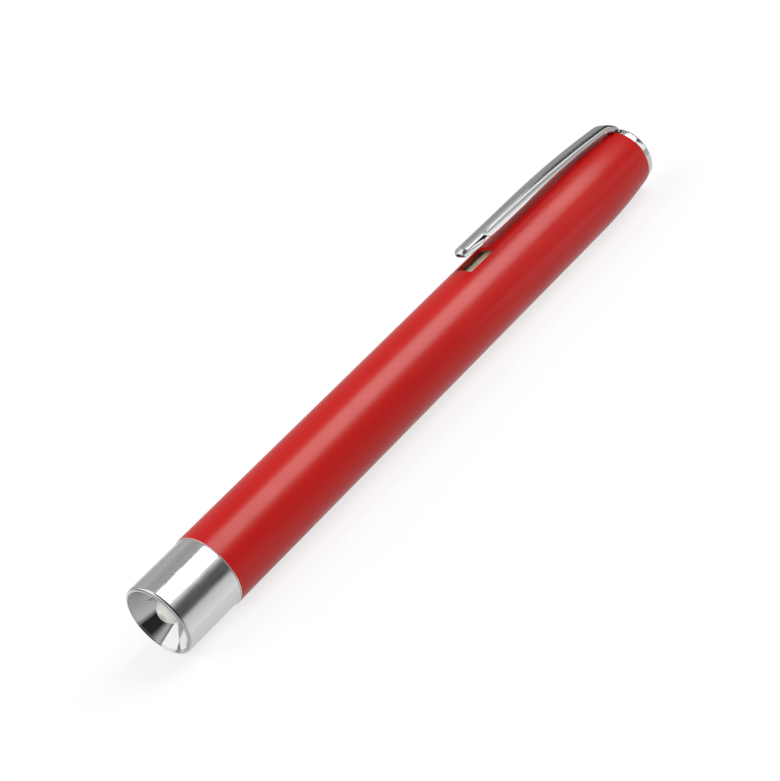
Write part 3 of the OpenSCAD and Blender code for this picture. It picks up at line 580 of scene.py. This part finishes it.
# Clip: a crowned channel swept along its arm and round its bend, with its foot, and a folded nose with a pip
CLIP_W, SHEET_T, SIDE_T = 3.0, 0.5, 0.45
X_TIP, X_SIDE, TIP_ROUND, TIP_SIDE_H = 88.1, 95.0, 1.5, 0.75
TIP_SLOPE, ROOT_SLOPE, CURVE_LEN = math.radians(0.6), math.radians(7.4), 25.8
CURVE_K = (math.tan(ROOT_SLOPE) - math.tan(TIP_SLOPE)) / (2 * CURVE_LEN)
FRONT_CROWN, ROOT_CROWN = 1.2, 0.3
MID_SIDE_H, ROOT_SIDE_H = 2.03, 1.22
X_ARM_END, Z_ARM_END = 131.9097, 8.7509
X_CURVE = X_ARM_END - CURVE_LEN
ARCH = 24

# Along the arm: rise of the top's arc, radius of its corners, lean of its walls, and room for the press over the barrel
ARC_RISE = ((X_TIP, 0.53), (97.0, 0.53), (106.0, 0.42), (112.0, 0.35), (118.0, 0.28), (X_ARM_END, 0.11))
CORNER = ((X_TIP, 0.37), (97.0, 0.38), (101.0, 0.48), (106.0, 0.72), (112.0, 0.86), (X_ARM_END, 0.86))
CORNER_LIMIT, CORNER_DROP, LEAST_WALL = 0.55, 0.7, 0.05
WALL_TOP, WALL_FOOT = math.radians(8), math.radians(4)
EDGE, EDGE_OF_DEPTH, EDGE_OF_WIDTH, EDGE_CLEAR = 0.12, 0.45, 0.4, 1.4
FOLD_DROP, FOLD_LEN, WALL_RAMP = 0.4, 2.2, 0.6
PRESS_ROOM, PRESS_LEN = 0.2, 5.0
PRESS_BEVEL = ((X_TIP, 0.1), (104.0, 0.1), (110.0, 0.0))

# Bend and foot
BEND_R, X_BEND, Z_BEND, BEND_STEPS = 5.2, 131.24, 3.5942, 24
BEND_START, BEND_STOP = math.pi / 2 - ROOT_SLOPE, math.radians(31.5)
FADE_START, FADE_LEN, FADED_CROWN, FADED_SIDE_H = math.radians(36), math.radians(14), 0.35, 0.12
X_FOOT, FOOT_Z0, FOOT_Z1, FOOT_PLAIN = 135.74, 1.394, 6.2, 0.7
FOOT_CROWN, FOOT_RISE = 0.02, 0.01
FOOT_TURN = ((0.175, math.radians(15)), (0.35, 0.0))
X_HOLE, X_HOLE_END, HOLE_R = 134.5, 136.4, 0.82

# Opening in the tip's front
X_SLOT, SLOT_Y, SLOT_Z, SLOT_H, SLOT_LEAD = 88.85, 0.62, 9.77, 0.16, 1


def clip_top(x):
    """Height of the arm's crest."""
    u = X_ARM_END - x
    c = min(u, CURVE_LEN)
    return Z_ARM_END + math.tan(ROOT_SLOPE) * c - CURVE_K * c * c + math.tan(TIP_SLOPE) * (u - c)


def clip_slope(x):
    return math.atan(math.tan(ROOT_SLOPE) - 2 * CURVE_K * min(X_ARM_END - x, CURVE_LEN))


def side_h(x):
    return MID_SIDE_H + (ROOT_SIDE_H - MID_SIDE_H) * max(0.0, x - X_CURVE) / CURVE_LEN


def crown_h(x):
    return ROOT_CROWN + (FRONT_CROWN - ROOT_CROWN) * min(1.0, (X_ARM_END - x) / CURVE_LEN)


def half_top(rise, corner, floor):
    """Half of the clip's top as side and depth: a shallow arc, a rounded corner and a slightly bowed wall."""
    w = CLIP_W / 2
    corner = min(corner, CORNER_LIMIT * floor)
    bow = max(LEAST_WALL, floor - rise - CORNER_DROP * corner) / (math.sin(WALL_TOP) + math.sin(WALL_FOOT))
    w -= bow * (1 - math.cos(WALL_TOP))
    radius = (w * w + rise * rise) / (2 * rise)
    corner_depth = radius - math.sqrt((radius - corner) ** 2 - (w - corner) ** 2)
    tilt = math.asin((w - corner) / (radius - corner))
    half = [(radius * math.sin(t), radius * (1 - math.cos(t))) for t in stations(0, tilt, 10)]
    half += [(w - corner + corner * math.sin(t), corner_depth - corner * math.cos(t))
             for t in stations(tilt, math.pi / 2 - WALL_TOP, 10)[1:]]
    y, d = half[-1]
    return half + [(y + bow * (math.cos(t) - math.cos(WALL_TOP)), d + bow * (math.sin(WALL_TOP) - math.sin(t)))
                   for t in stations(WALL_TOP, -WALL_FOOT, 6)[1:]]


def clip_section(crown, rise, corner, floor, k=1.0, k_in=1.0, bevel=0.0):
    """Closed outline of side and depth: over the top from edge to edge, then back along the hollow.

    Shares k and k_in of the full outside and hollow are less than 1 in the tip's rounding.
    """
    w = CLIP_W / 2
    edge = min(EDGE, EDGE_OF_DEPTH * floor, EDGE_OF_WIDTH * w * k)
    half = []
    for y, d in half_top(rise, corner, floor):
        p = Vector((y * k, crown * (1 - k) + d * k))
        if half and p.y > floor - edge:
            last = half[-1]
            p = last.lerp(p, max(0.0, floor - edge - last.y) / (p.y - last.y)) if p.y > last.y else last
        half.append(p)
    over = [(-p.x, p.y) for p in reversed(half[1:])] + [(p.x, p.y) for p in half]
    foot_y = over[-1][0]
    down = [(foot_y, max(over[-1][1], floor - edge))]
    down += [(foot_y - edge * (1 - math.cos(a)), floor - edge + edge * math.sin(a))
             for a in (math.radians(d) for d in (30, 60, 90))]
    up = [(-y, d) for y, d in reversed(down)]
    w_in = w - SIDE_T
    crown_in = crown * w_in / w
    inside = max(0.0, foot_y - EDGE_CLEAR * edge)
    lowest = floor - bevel * k_in
    back = []
    for t in stations(0, math.pi, ARCH):
        y = max(-inside, min(inside, w_in * k_in * math.cos(t)))
        depth = SHEET_T + crown_in * (1 - k_in * math.sin(t)) if k_in > 0 else floor
        back.append((y, min(depth, lowest)))
    rim = min(w_in * k_in, inside)
    return over + down + [(rim, lowest)] + back + [(-rim, lowest)] + up


def swept(section, x, z, depth_x, depth_z):
    """Section set under a crest point, along a depth direction."""
    return [at(x + d * depth_x, y, z + d * depth_z) for y, d in section]


def clip_floor(x):
    """Depth of the clip's lower edge: shallow over the window, deep along its walls, and folded down at its tip."""
    shallow = TIP_SIDE_H + clip_top(x) - clip_top(X_SIDE)
    room = PRESS_ROOM * max(0.0, 1 - max(0.0, x - X_SIDE) / PRESS_LEN) ** 2
    wall = (side_h(x) - room - shallow) * past(x, X_SIDE - WALL_RAMP, 2 * WALL_RAMP)
    return shallow + wall + FOLD_DROP * eased(1 - past(x, X_TIP, FOLD_LEN))


def arm_ring(x):
    a = clip_slope(x)
    section = clip_section(crown_h(x), between(ARC_RISE, x), between(CORNER, x), clip_floor(x),
                           bulge(past(x, X_TIP, TIP_ROUND)), bulge(past(x, X_TIP + SHEET_T, TIP_ROUND)),
                           between(PRESS_BEVEL, x))
    return swept(section, x, clip_top(x), -math.sin(a), -math.cos(a))


def bend_ring(a):
    """Section round the bend, where the walls run out towards the flat foot."""
    fade = past(a, FADE_START, FADE_LEN)
    floor = SHEET_T + FADED_SIDE_H + (ROOT_SIDE_H - SHEET_T - FADED_SIDE_H) * eased(fade)
    share = FADED_CROWN + (1 - FADED_CROWN) * fade
    section = clip_section(ROOT_CROWN * share, ARC_RISE[-1][1] * share, CORNER[-1][1], floor)
    return swept(section, X_BEND + BEND_R * math.cos(a), Z_BEND + BEND_R * math.sin(a), -math.cos(a), -math.sin(a))


def fold_slot():
    """Solid for the small opening that the folded sheet leaves in the front of the tip."""
    return loft([[at(x, SLOT_Y * math.cos(a), SLOT_Z + SLOT_H * math.sin(a)) for a in circle(32)]
                 for x in (X_TIP - SLOT_LEAD, X_SLOT)])


TIP_START = 0.002
arm = [X_TIP + TIP_START + (TIP_ROUND - TIP_START) * (i / 16) ** 2 for i in range(17)]
arm += stations(X_TIP + TIP_ROUND, X_SIDE - WALL_RAMP, 10)[1:]
arm += stations(X_SIDE - WALL_RAMP, X_SIDE + WALL_RAMP, 6)[1:]
arm += stations(X_SIDE + WALL_RAMP, X_CURVE, 10)[1:] + stations(X_CURVE, X_ARM_END, 30)[1:]
flat = clip_section(FOOT_CROWN, FOOT_RISE, SHEET_T / 2, SHEET_T)
clip_rings = [arm_ring(x) for x in arm] + [bend_ring(a) for a in stations(BEND_START, BEND_STOP, BEND_STEPS)[1:]]
clip_rings += [swept(flat, X_FOOT, FOOT_Z1 - drop, -math.cos(a), -math.sin(a)) for drop, a in FOOT_TURN]
clip_rings += [swept(flat, X_FOOT, z, -1, 0) for z in stations(FOOT_Z1 - FOOT_PLAIN, FOOT_Z0, 8)]
clip = as_object("spring_clip", loft(clip_rings))
cut_away(clip, turned([(X_HOLE, 0), (X_HOLE, HOLE_R), (X_HOLE_END, HOLE_R), (X_HOLE_END, 0)], 48, z=RIVET_Z))
cut_away(clip, fold_slot())

# Nose: heights of its underside and of its walls' top along it, and the curl and taper of its front
NOSE_X = (88.28, 88.3, 88.34, 88.4, 88.5, 88.62, 88.78, 88.95, 88.96, 89.1, 89.6, 90.6, 91.4, 92.2, 92.7, 93.0, 93.3,
          93.6, 93.9, 94.3, 94.6, 95.0, 95.5, 96.0, 96.4)
NOSE_LOW = ((88.28, 9.0), (88.45, 9.0), (92.7, 8.35), (93.9, 8.35), (95.1, 8.95))
NOSE_HIGH = ((88.28, 10.15), (89.4, 10.15), (94.75, 9.1), (96.4, 9.4))
NOSE_HALF, NOSE_WALL, NOSE_LEAN, NOSE_EDGE = 0.95, 0.4, 0.11, 0.12
NOSE_ROUND, NOSE_CURL, NOSE_TAPER, NOSE_TIP_T, NOSE_TIP_SLOPE, X_CHANNEL = 0.75, 0.75, 0.3, 0.03, 2.0, 88.95
X_NOSE, Z_NOSE, PIP_R, PIP_H = 93.3, 7.8, 0.8, 0.55
PIP_SKIRT = ((0.80, -0.03), (0.86, -0.004), (0.9, 0.02), (0.6, 0.25))


def nose_ring(x):
    """Section of the folded nose: solid where it folds under the tip, then a channel that opens upwards."""
    ahead = x - NOSE_X[0]
    swell = bulge(min(1.0, ahead / NOSE_ROUND))
    low = between(NOSE_LOW, x) + NOSE_CURL * (1 - swell)
    high = min(between(NOSE_HIGH, x), low + NOSE_TIP_T + NOSE_TIP_SLOPE * ahead)
    inner = min(low + NOSE_WALL, high) if x > X_CHANNEL else high
    w = NOSE_HALF * (1 - NOSE_TAPER * (1 - swell))
    top = w - NOSE_LEAN * (high - low)
    w_in = top - NOSE_WALL
    c = min(NOSE_EDGE, 0.5 * (high - low))
    e = 0.5 * c
    right = [(w - c, low), (w - 0.3 * c, low + 0.3 * c), (w, low + c), (top, high - e), (top - e, high),
             (w_in + e, high), (w_in, high - e if inner < high else high), (w_in, inner)]
    return [at(x, y, z) for y, z in right + [(-y, z) for y, z in reversed(right)]]


def pip_rings():
    """Round contact pip under the nose, filleted into it."""
    outline = [(PIP_R * math.sin(a), Z_NOSE + PIP_R - PIP_R * math.cos(a)) for a in map(math.radians, range(4, 68, 7))]
    outline += [(r, Z_NOSE + PIP_H + z) for r, z in PIP_SKIRT]
    return [[at(X_NOSE + r * math.cos(a), r * math.sin(a), z) for a in circle(32)] for r, z in outline]


def join_shell(obj, rings):
    """Adds a closed shell to obj's mesh, less the opening in the tip."""
    shell = as_object("shell", loft(rings))
    cut_away(shell, fold_slot())
    bm = bmesh.new()
    bm.from_mesh(obj.data)
    bm.from_mesh(shell.data)
    bm.to_mesh(obj.data)
    bm.free()
    bpy.data.objects.remove(shell)


# Faces that face downwards or inwards, from a little below the crest on, take the clip's hollow material: satin, and
# darker than the metal is, as painted shade in the channel
HOLLOW_TOP, CEILING_DEPTH, UNDER_LEN, SLOT_REACH = 0.35, 1.45, 2, 1.02
FACES_DOWN, LEANS_DOWN, FACES_IN = -0.3, -0.15, -0.05


def in_hollow(x, y, z, normal):
    """Whether a face lies in the clip's hollow, under its tip or in the tip's opening."""
    deep = clip_top(x) - z
    ceiling = normal.z < FACES_DOWN and abs(y) < CLIP_W / 2 - SIDE_T / 2 and deep < CEILING_DEPTH
    under = x < X_SIDE + UNDER_LEN and normal.z < LEANS_DOWN
    slot = x < X_SLOT + NEAR and math.hypot(y / SLOT_Y, (z - SLOT_Z) / SLOT_H) < SLOT_REACH
    inward = y * normal.y < FACES_IN
    return x < X_ARM_END and deep > HOLLOW_TOP and (ceiling or under or slot or inward)


join_shell(clip, [nose_ring(x) for x in NOSE_X])
join_shell(clip, pip_rings())
dress(clip, "clip", [chrome_clip, clip_hollow_satin_shade], "pocket_clip", sharp=40)
second_material(clip, in_hollow)

# Camera, fitted to the photograph; from here on sizes are in metres, apart from the lens and sensor
AZ, EL, ROLL = (math.radians(d) for d in (-36.56, 26.21, -26.77))
DISTANCE, NEAREST, LENS, SENSOR = 0.4081, 0.01, 109.24, 36
AIM = Vector((-0.00676, 0, 0.007))
back = Vector((math.sin(AZ) * math.cos(EL), -math.cos(AZ) * math.cos(EL), math.sin(EL)))
level = Vector((0, 0, 1)).cross(back).normalized()
right = math.cos(ROLL) * level + math.sin(ROLL) * back.cross(level)
up = back.cross(right)
camera = bpy.data.objects.new("camera", bpy.data.cameras.new("camera"))
bpy.context.scene.collection.objects.link(camera)
camera.matrix_world = Matrix.Translation(AIM + DISTANCE * back) @ Matrix((right, up, back)).transposed().to_4x4()
camera.data.sensor_fit = "VERTICAL"
camera.data.sensor_height = SENSOR
camera.data.lens = LENS
camera.data.clip_start = NEAREST
bpy.context.scene.camera = camera

# Studio: a white floor and world, a key softbox, two fills, and cards that only reflections see
FLOOR, FLOOR_GREY, FLOOR_MIRROR = 3.0, (0.66, 0.66, 0.66, 1), 0.12
SHADOW_NEAR, SHADOW_FAR, SHADOW_WHITE = 0.3, 0.9, 0.75
AMBIENT = 0.47


def seen_white(owner, lit, white, eye_share, mirror_share):
    """Mixes a lit shader towards plain white for rays that look at the background."""
    path = add(owner, "ShaderNodeLightPath")
    most = None
    for ray, share in (("Camera", eye_share), ("Glossy", mirror_share), ("Transmission", mirror_share)):
        rays = path.outputs["Is " + ray + " Ray"]
        part = add(owner, "ShaderNodeMath", {0: rays, 1: share}, operation="MULTIPLY").outputs[0]
        if most is not None:
            part = add(owner, "ShaderNodeMath", {0: most, 1: part}, operation="MAXIMUM").outputs[0]
        most = part
    return add(owner, "ShaderNodeMixShader", {0: most, 1: lit.outputs[0], 2: white.outputs[0]})


def empty_material(name):
    mat = bpy.data.materials.new(name)
    mat.use_nodes = True
    mat.node_tree.nodes.clear()
    return mat


def floor_material():
    """Paper that the camera sees as white with a faint shadow, and that lights the pen a little less from below."""
    mat = empty_material("floor")
    eye = add(mat, "ShaderNodeLightPath").outputs["Is Camera Ray"]
    paper = add(mat, "ShaderNodeMix", {0: eye, 6: FLOOR_GREY, 7: WHITE}, data_type="RGBA")
    lit = add(mat, "ShaderNodeBsdfDiffuse", {"Color": paper.outputs[2]})
    white = add(mat, "ShaderNodeEmission", {"Color": WHITE})
    away = add(mat, "ShaderNodeVectorMath", {0: place(mat)}, operation="LENGTH")
    fade = add(mat, "ShaderNodeMapRange", {"Value": away.outputs["Value"], "From Min": SHADOW_NEAR,
                                           "From Max": SHADOW_FAR, "To Min": SHADOW_WHITE, "To Max": 1.0})
    mix = seen_white(mat, lit, white, fade.outputs[0], FLOOR_MIRROR)
    add(mat, "ShaderNodeOutputMaterial", {"Surface": mix.outputs[0]})
    return mat


def quad(name, corners, mat):
    bm = bmesh.new()
    bm.faces.new([bm.verts.new(c) for c in corners])
    mesh = bpy.data.meshes.new(name)
    bm.to_mesh(mesh)
    bm.free()
    mesh.materials.append(mat)
    obj = bpy.data.objects.new(name, mesh)
    bpy.context.scene.collection.objects.link(obj)
    return obj


def lying(x0, x1, y0, y1, z):
    return [(x0, y0, z), (x1, y0, z), (x1, y1, z), (x0, y1, z)]


def upright(start, stop, height, stop_height=None):
    """Corners of a card that stands on the floor between two points."""
    return [(*start, 0.0), (*stop, 0.0), (*stop, stop_height or height), (*start, height)]


def ramp_along(mat, levels, axis):
    """Brightness stops along one axis."""
    split = add(mat, "ShaderNodeSeparateXYZ", {0: place(mat)})
    low, high = levels[0][0], levels[-1][0]
    along = add(mat, "ShaderNodeMapRange", {"Value": split.outputs[axis], "From Min": low, "From Max": high})
    ramp = add(mat, "ShaderNodeValToRGB", {0: along.outputs[0]})
    stops = ramp.color_ramp.elements
    while len(stops) < len(levels):
        stops.new(0.5)
    for stop, (where, brightness) in zip(stops, levels):
        stop.position = (where - low) / (high - low)
        stop.color = (brightness, brightness, brightness, 1)
    return ramp.outputs[0]


def card(name, corners, levels, axis="Z", across=None):
    """A card that only glossy reflections see: of one level, or with stops along an axis and, across that, along Y."""
    mat = empty_material(name)
    shown = (levels, levels, levels, 1) if isinstance(levels, float) else ramp_along(mat, levels, axis)
    if across:
        shown = add(mat, "ShaderNodeVectorMath", {0: shown, 1: ramp_along(mat, across, "Y")},
                    operation="MULTIPLY").outputs[0]
    glow = add(mat, "ShaderNodeEmission", {"Color": shown})
    add(mat, "ShaderNodeOutputMaterial", {"Surface": glow.outputs[0]})
    mat.cycles.emission_sampling = "NONE"
    obj = quad(name, corners, mat)
    obj.visible_camera = False
    obj.visible_diffuse = False
    obj.visible_shadow = False
    obj.visible_transmission = False
    obj.visible_volume_scatter = False


def softbox(name, centre, target, size_x, size_y, power):
    lamp = bpy.data.lights.new(name, "AREA")
    lamp.shape = "RECTANGLE"
    lamp.size = size_x
    lamp.size_y = size_y
    lamp.energy = power
    obj = bpy.data.objects.new(name, lamp)
    bpy.context.scene.collection.objects.link(obj)
    centre, target = Vector(centre), Vector(target)
    normal = (centre - target).normalized()
    along = (Vector((1, 0, 0)) - normal * normal.x).normalized()
    obj.matrix_world = Matrix.Translation(centre) @ Matrix((along, normal.cross(along), normal)).transposed().to_4x4()
    obj.visible_camera = False
    return obj


quad("floor", lying(-FLOOR, FLOOR, -FLOOR, FLOOR, 0), floor_material())

# Cards beside the pen: a dark flag, and brighter strips just in front of it for the clip's wall
FLAG_Y, STRIP_Y, FLAG_H = -0.6, -0.59, 0.6
card("dark_flag", upright((-0.05, FLAG_Y), (1.6, FLAG_Y), FLAG_H),
     [(0.0, 0.085), (0.2, 0.10), (0.30, 0.16), (0.46, 0.55), (0.6, 1.0)])
for name, x0, x1, levels in (
        ("front_strip", 0.47, 0.63,
         [(0.0, 0.9), (0.1, 0.95), (0.2, 1.0), (0.33, 1.35), (0.45, 1.35), (0.6, 1.0)]),
        ("middle_strip", 0.63, 0.665,
         [(0.0, 0.8), (0.1, 0.9), (0.2, 0.8), (0.3, 0.5), (0.38, 0.28), (0.46, 0.14), (0.6, 0.1)]),
        ("root_strip", 0.665, 1.4,
         [(0.0, 0.7), (0.1, 0.75), (0.16, 0.5), (0.21, 0.2), (0.27, 0.08), (0.6, 0.05)])):
    card(name, upright((x0, STRIP_Y), (x1, STRIP_Y), FLAG_H), levels)

# Cards behind, past the tail and overhead
BACK_Y, BACK_H, END_X, END_H = 0.8, 1.57, 2.5, 1.6
card("back_card", upright((-0.26, BACK_Y), (END_X, BACK_Y), BACK_H),
     [(-0.26, 0.30), (-0.16, 0.20), (-0.08, 0.30), (0.0, 0.43), (0.45, 0.43), (0.74, 0.34), (1.0, 0.30), (1.35, 0.31),
      (1.6, 0.22), (2.5, 0.06)], "X")
card("end_card", upright((END_X, -1.0), (END_X, BACK_Y), END_H), 0.05)
card("gap_card", lying(0.2, END_X, 0.03, 0.82, END_H),
     [(0.2, 0.34), (0.9, 0.37), (1.25, 0.46), (1.4, 0.40), (1.6, 0.27), (1.85, 0.17), (2.15, 0.12), (2.5, 0.09)], "X")
card("surround", [(-1.2, -0.978, 0.947), (3.2, -0.978, 0.947), (3.2, 0.022, 1.363), (-1.2, 0.022, 1.363)],
     [(-1.2, 0.25), (0.2, 0.12), (0.56, 0.12), (0.62, 1.4), (0.985, 1.6), (1.0, 1.15), (1.012, 0.85), (1.035, 0.45),
      (1.07, 0.3), (1.13, 0.12), (1.25, 0.06), (3.2, 0.05)], "X")

# Papers on the floor, from in front of the head to past the tail, between the pen and the mats: cards that only
# reflections see, darker next to the pen as a painted shadow of the pen on the floor
PAPER_Z, PAPER_Y, PEN_Y, TAIL_PAPER_Y = 0.0006, -0.072, -0.002, -0.018
X_HEAD_PAPER, X_BARREL_PAPER, X_TAIL_PAPER, X_PAPER_END = -0.0685, -0.036, 0.03, 0.3
card("head_paper", lying(X_HEAD_PAPER, X_BARREL_PAPER, PAPER_Y, PEN_Y, PAPER_Z),
     [(-0.072, 0.12), (-0.055, 0.30), (-0.04, 0.45), (-0.024, 0.60), (-0.010, 0.74), (-0.002, 0.55)], "Y")
card("barrel_paper", lying(X_BARREL_PAPER, X_TAIL_PAPER, PAPER_Y, PEN_Y, PAPER_Z),
     [(-0.072, 0.2), (-0.035, 0.28), (-0.02, 0.38), (-0.011, 0.68), (-0.002, 0.7)], "Y")
card("front_paper", lying(-0.14, X_HEAD_PAPER, PAPER_Y, 0.02, PAPER_Z),
     [(-0.072, 0.08), (-0.05, 0.12), (-0.032, 0.19), (-0.024, 0.27), (-0.018, 0.39), (-0.012, 0.47), (-0.006, 0.46),
      (-0.002, 0.42), (0.002, 0.34), (0.02, 0.26)], "Y")
# The paper next to the tail is one even painted shadow; the wall paper beyond it is brighter
card("tail_paper_shadow", lying(X_TAIL_PAPER, X_PAPER_END, TAIL_PAPER_Y, PEN_Y, PAPER_Z), 0.65)
card("wall_paper", lying(X_TAIL_PAPER, X_PAPER_END, PAPER_Y, TAIL_PAPER_Y, PAPER_Z),
     [(0.03, 0.85), (0.048, 1.0), (0.058, 1.0), (0.064, 0.76), (0.07, 0.62), (0.076, 0.45), (0.3, 0.42)], "X",
     [(-0.072, 0.6), (-0.055, 0.6), (-0.042, 0.8), (-0.032, 1.0), (-0.018, 1.0)])

# Mats further out on the floor
DARK_MAT_Z, LIGHT_MAT_Z = 0.001, 0.0015
card("dark_mat", lying(-0.8, 1.6, -0.7, PAPER_Y, DARK_MAT_Z), 0.10)
card("light_mat", [(0.08, PAPER_Y, LIGHT_MAT_Z), (0.3, PAPER_Y, LIGHT_MAT_Z), (0.75, STRIP_Y, LIGHT_MAT_Z),
                   (0.5, STRIP_Y, LIGHT_MAT_Z)], 0.7)

# Cards round the camera and left of the head
CAMERA_CORNER, CORNER_H = (-0.45, -0.357), 0.993
card("camera_card", upright((-0.05, -0.7), CAMERA_CORNER, 0.85, CORNER_H), [(0.0, 0.02), (0.55, 0.02), (1.1, 0.3)])
card("side_card", upright(CAMERA_CORNER, (-0.75, -0.1), CORNER_H, 1.1),
     [(-0.75, 0.45), (-0.56, 0.40), (-0.45, 0.04)], "X")
card("left_flag", upright((-0.74, -0.02), (-0.32, 0.72), 0.38), [(0.0, 0.3), (0.08, 0.12), (0.22, 0.12), (0.38, 0.6)])

# The key lights everything but the clip, whose reflections are left to the cards
key = softbox("key", (0.79, -0.469, 1.105), (0.79, 0, 0), 0.74, 0.92, 11.4)
key_lit = bpy.data.collections.new("key_lit")
key_lit.objects.link(clip)
key_lit.collection_objects[0].light_linking.link_state = "EXCLUDE"
key.light_linking.receiver_collection = key_lit
softbox("fill", (-0.42, 0.60, 0.95), (0, 0, 0), 0.5, 0.5, 2.9).visible_glossy = False
softbox("front_fill", (-1.2, 0.05, 0.25), (-0.07, 0, 0.007), 0.3, 0.3, 3.8).visible_glossy = False

world = bpy.data.worlds.new("studio")
bpy.context.scene.world = world
world.use_nodes = True
ambient = world.node_tree.nodes["Background"]
ambient.inputs["Color"].default_value = WHITE
ambient.inputs["Strength"].default_value = AMBIENT
white_air = add(world, "ShaderNodeBackground", {"Color": WHITE})
air = seen_white(world, ambient, white_air, 1.0, 1.0)
world.node_tree.links.new(air.outputs[0], world.node_tree.nodes["World Output"].inputs["Surface"])

bpy.context.scene.view_settings.view_transform = "Standard"
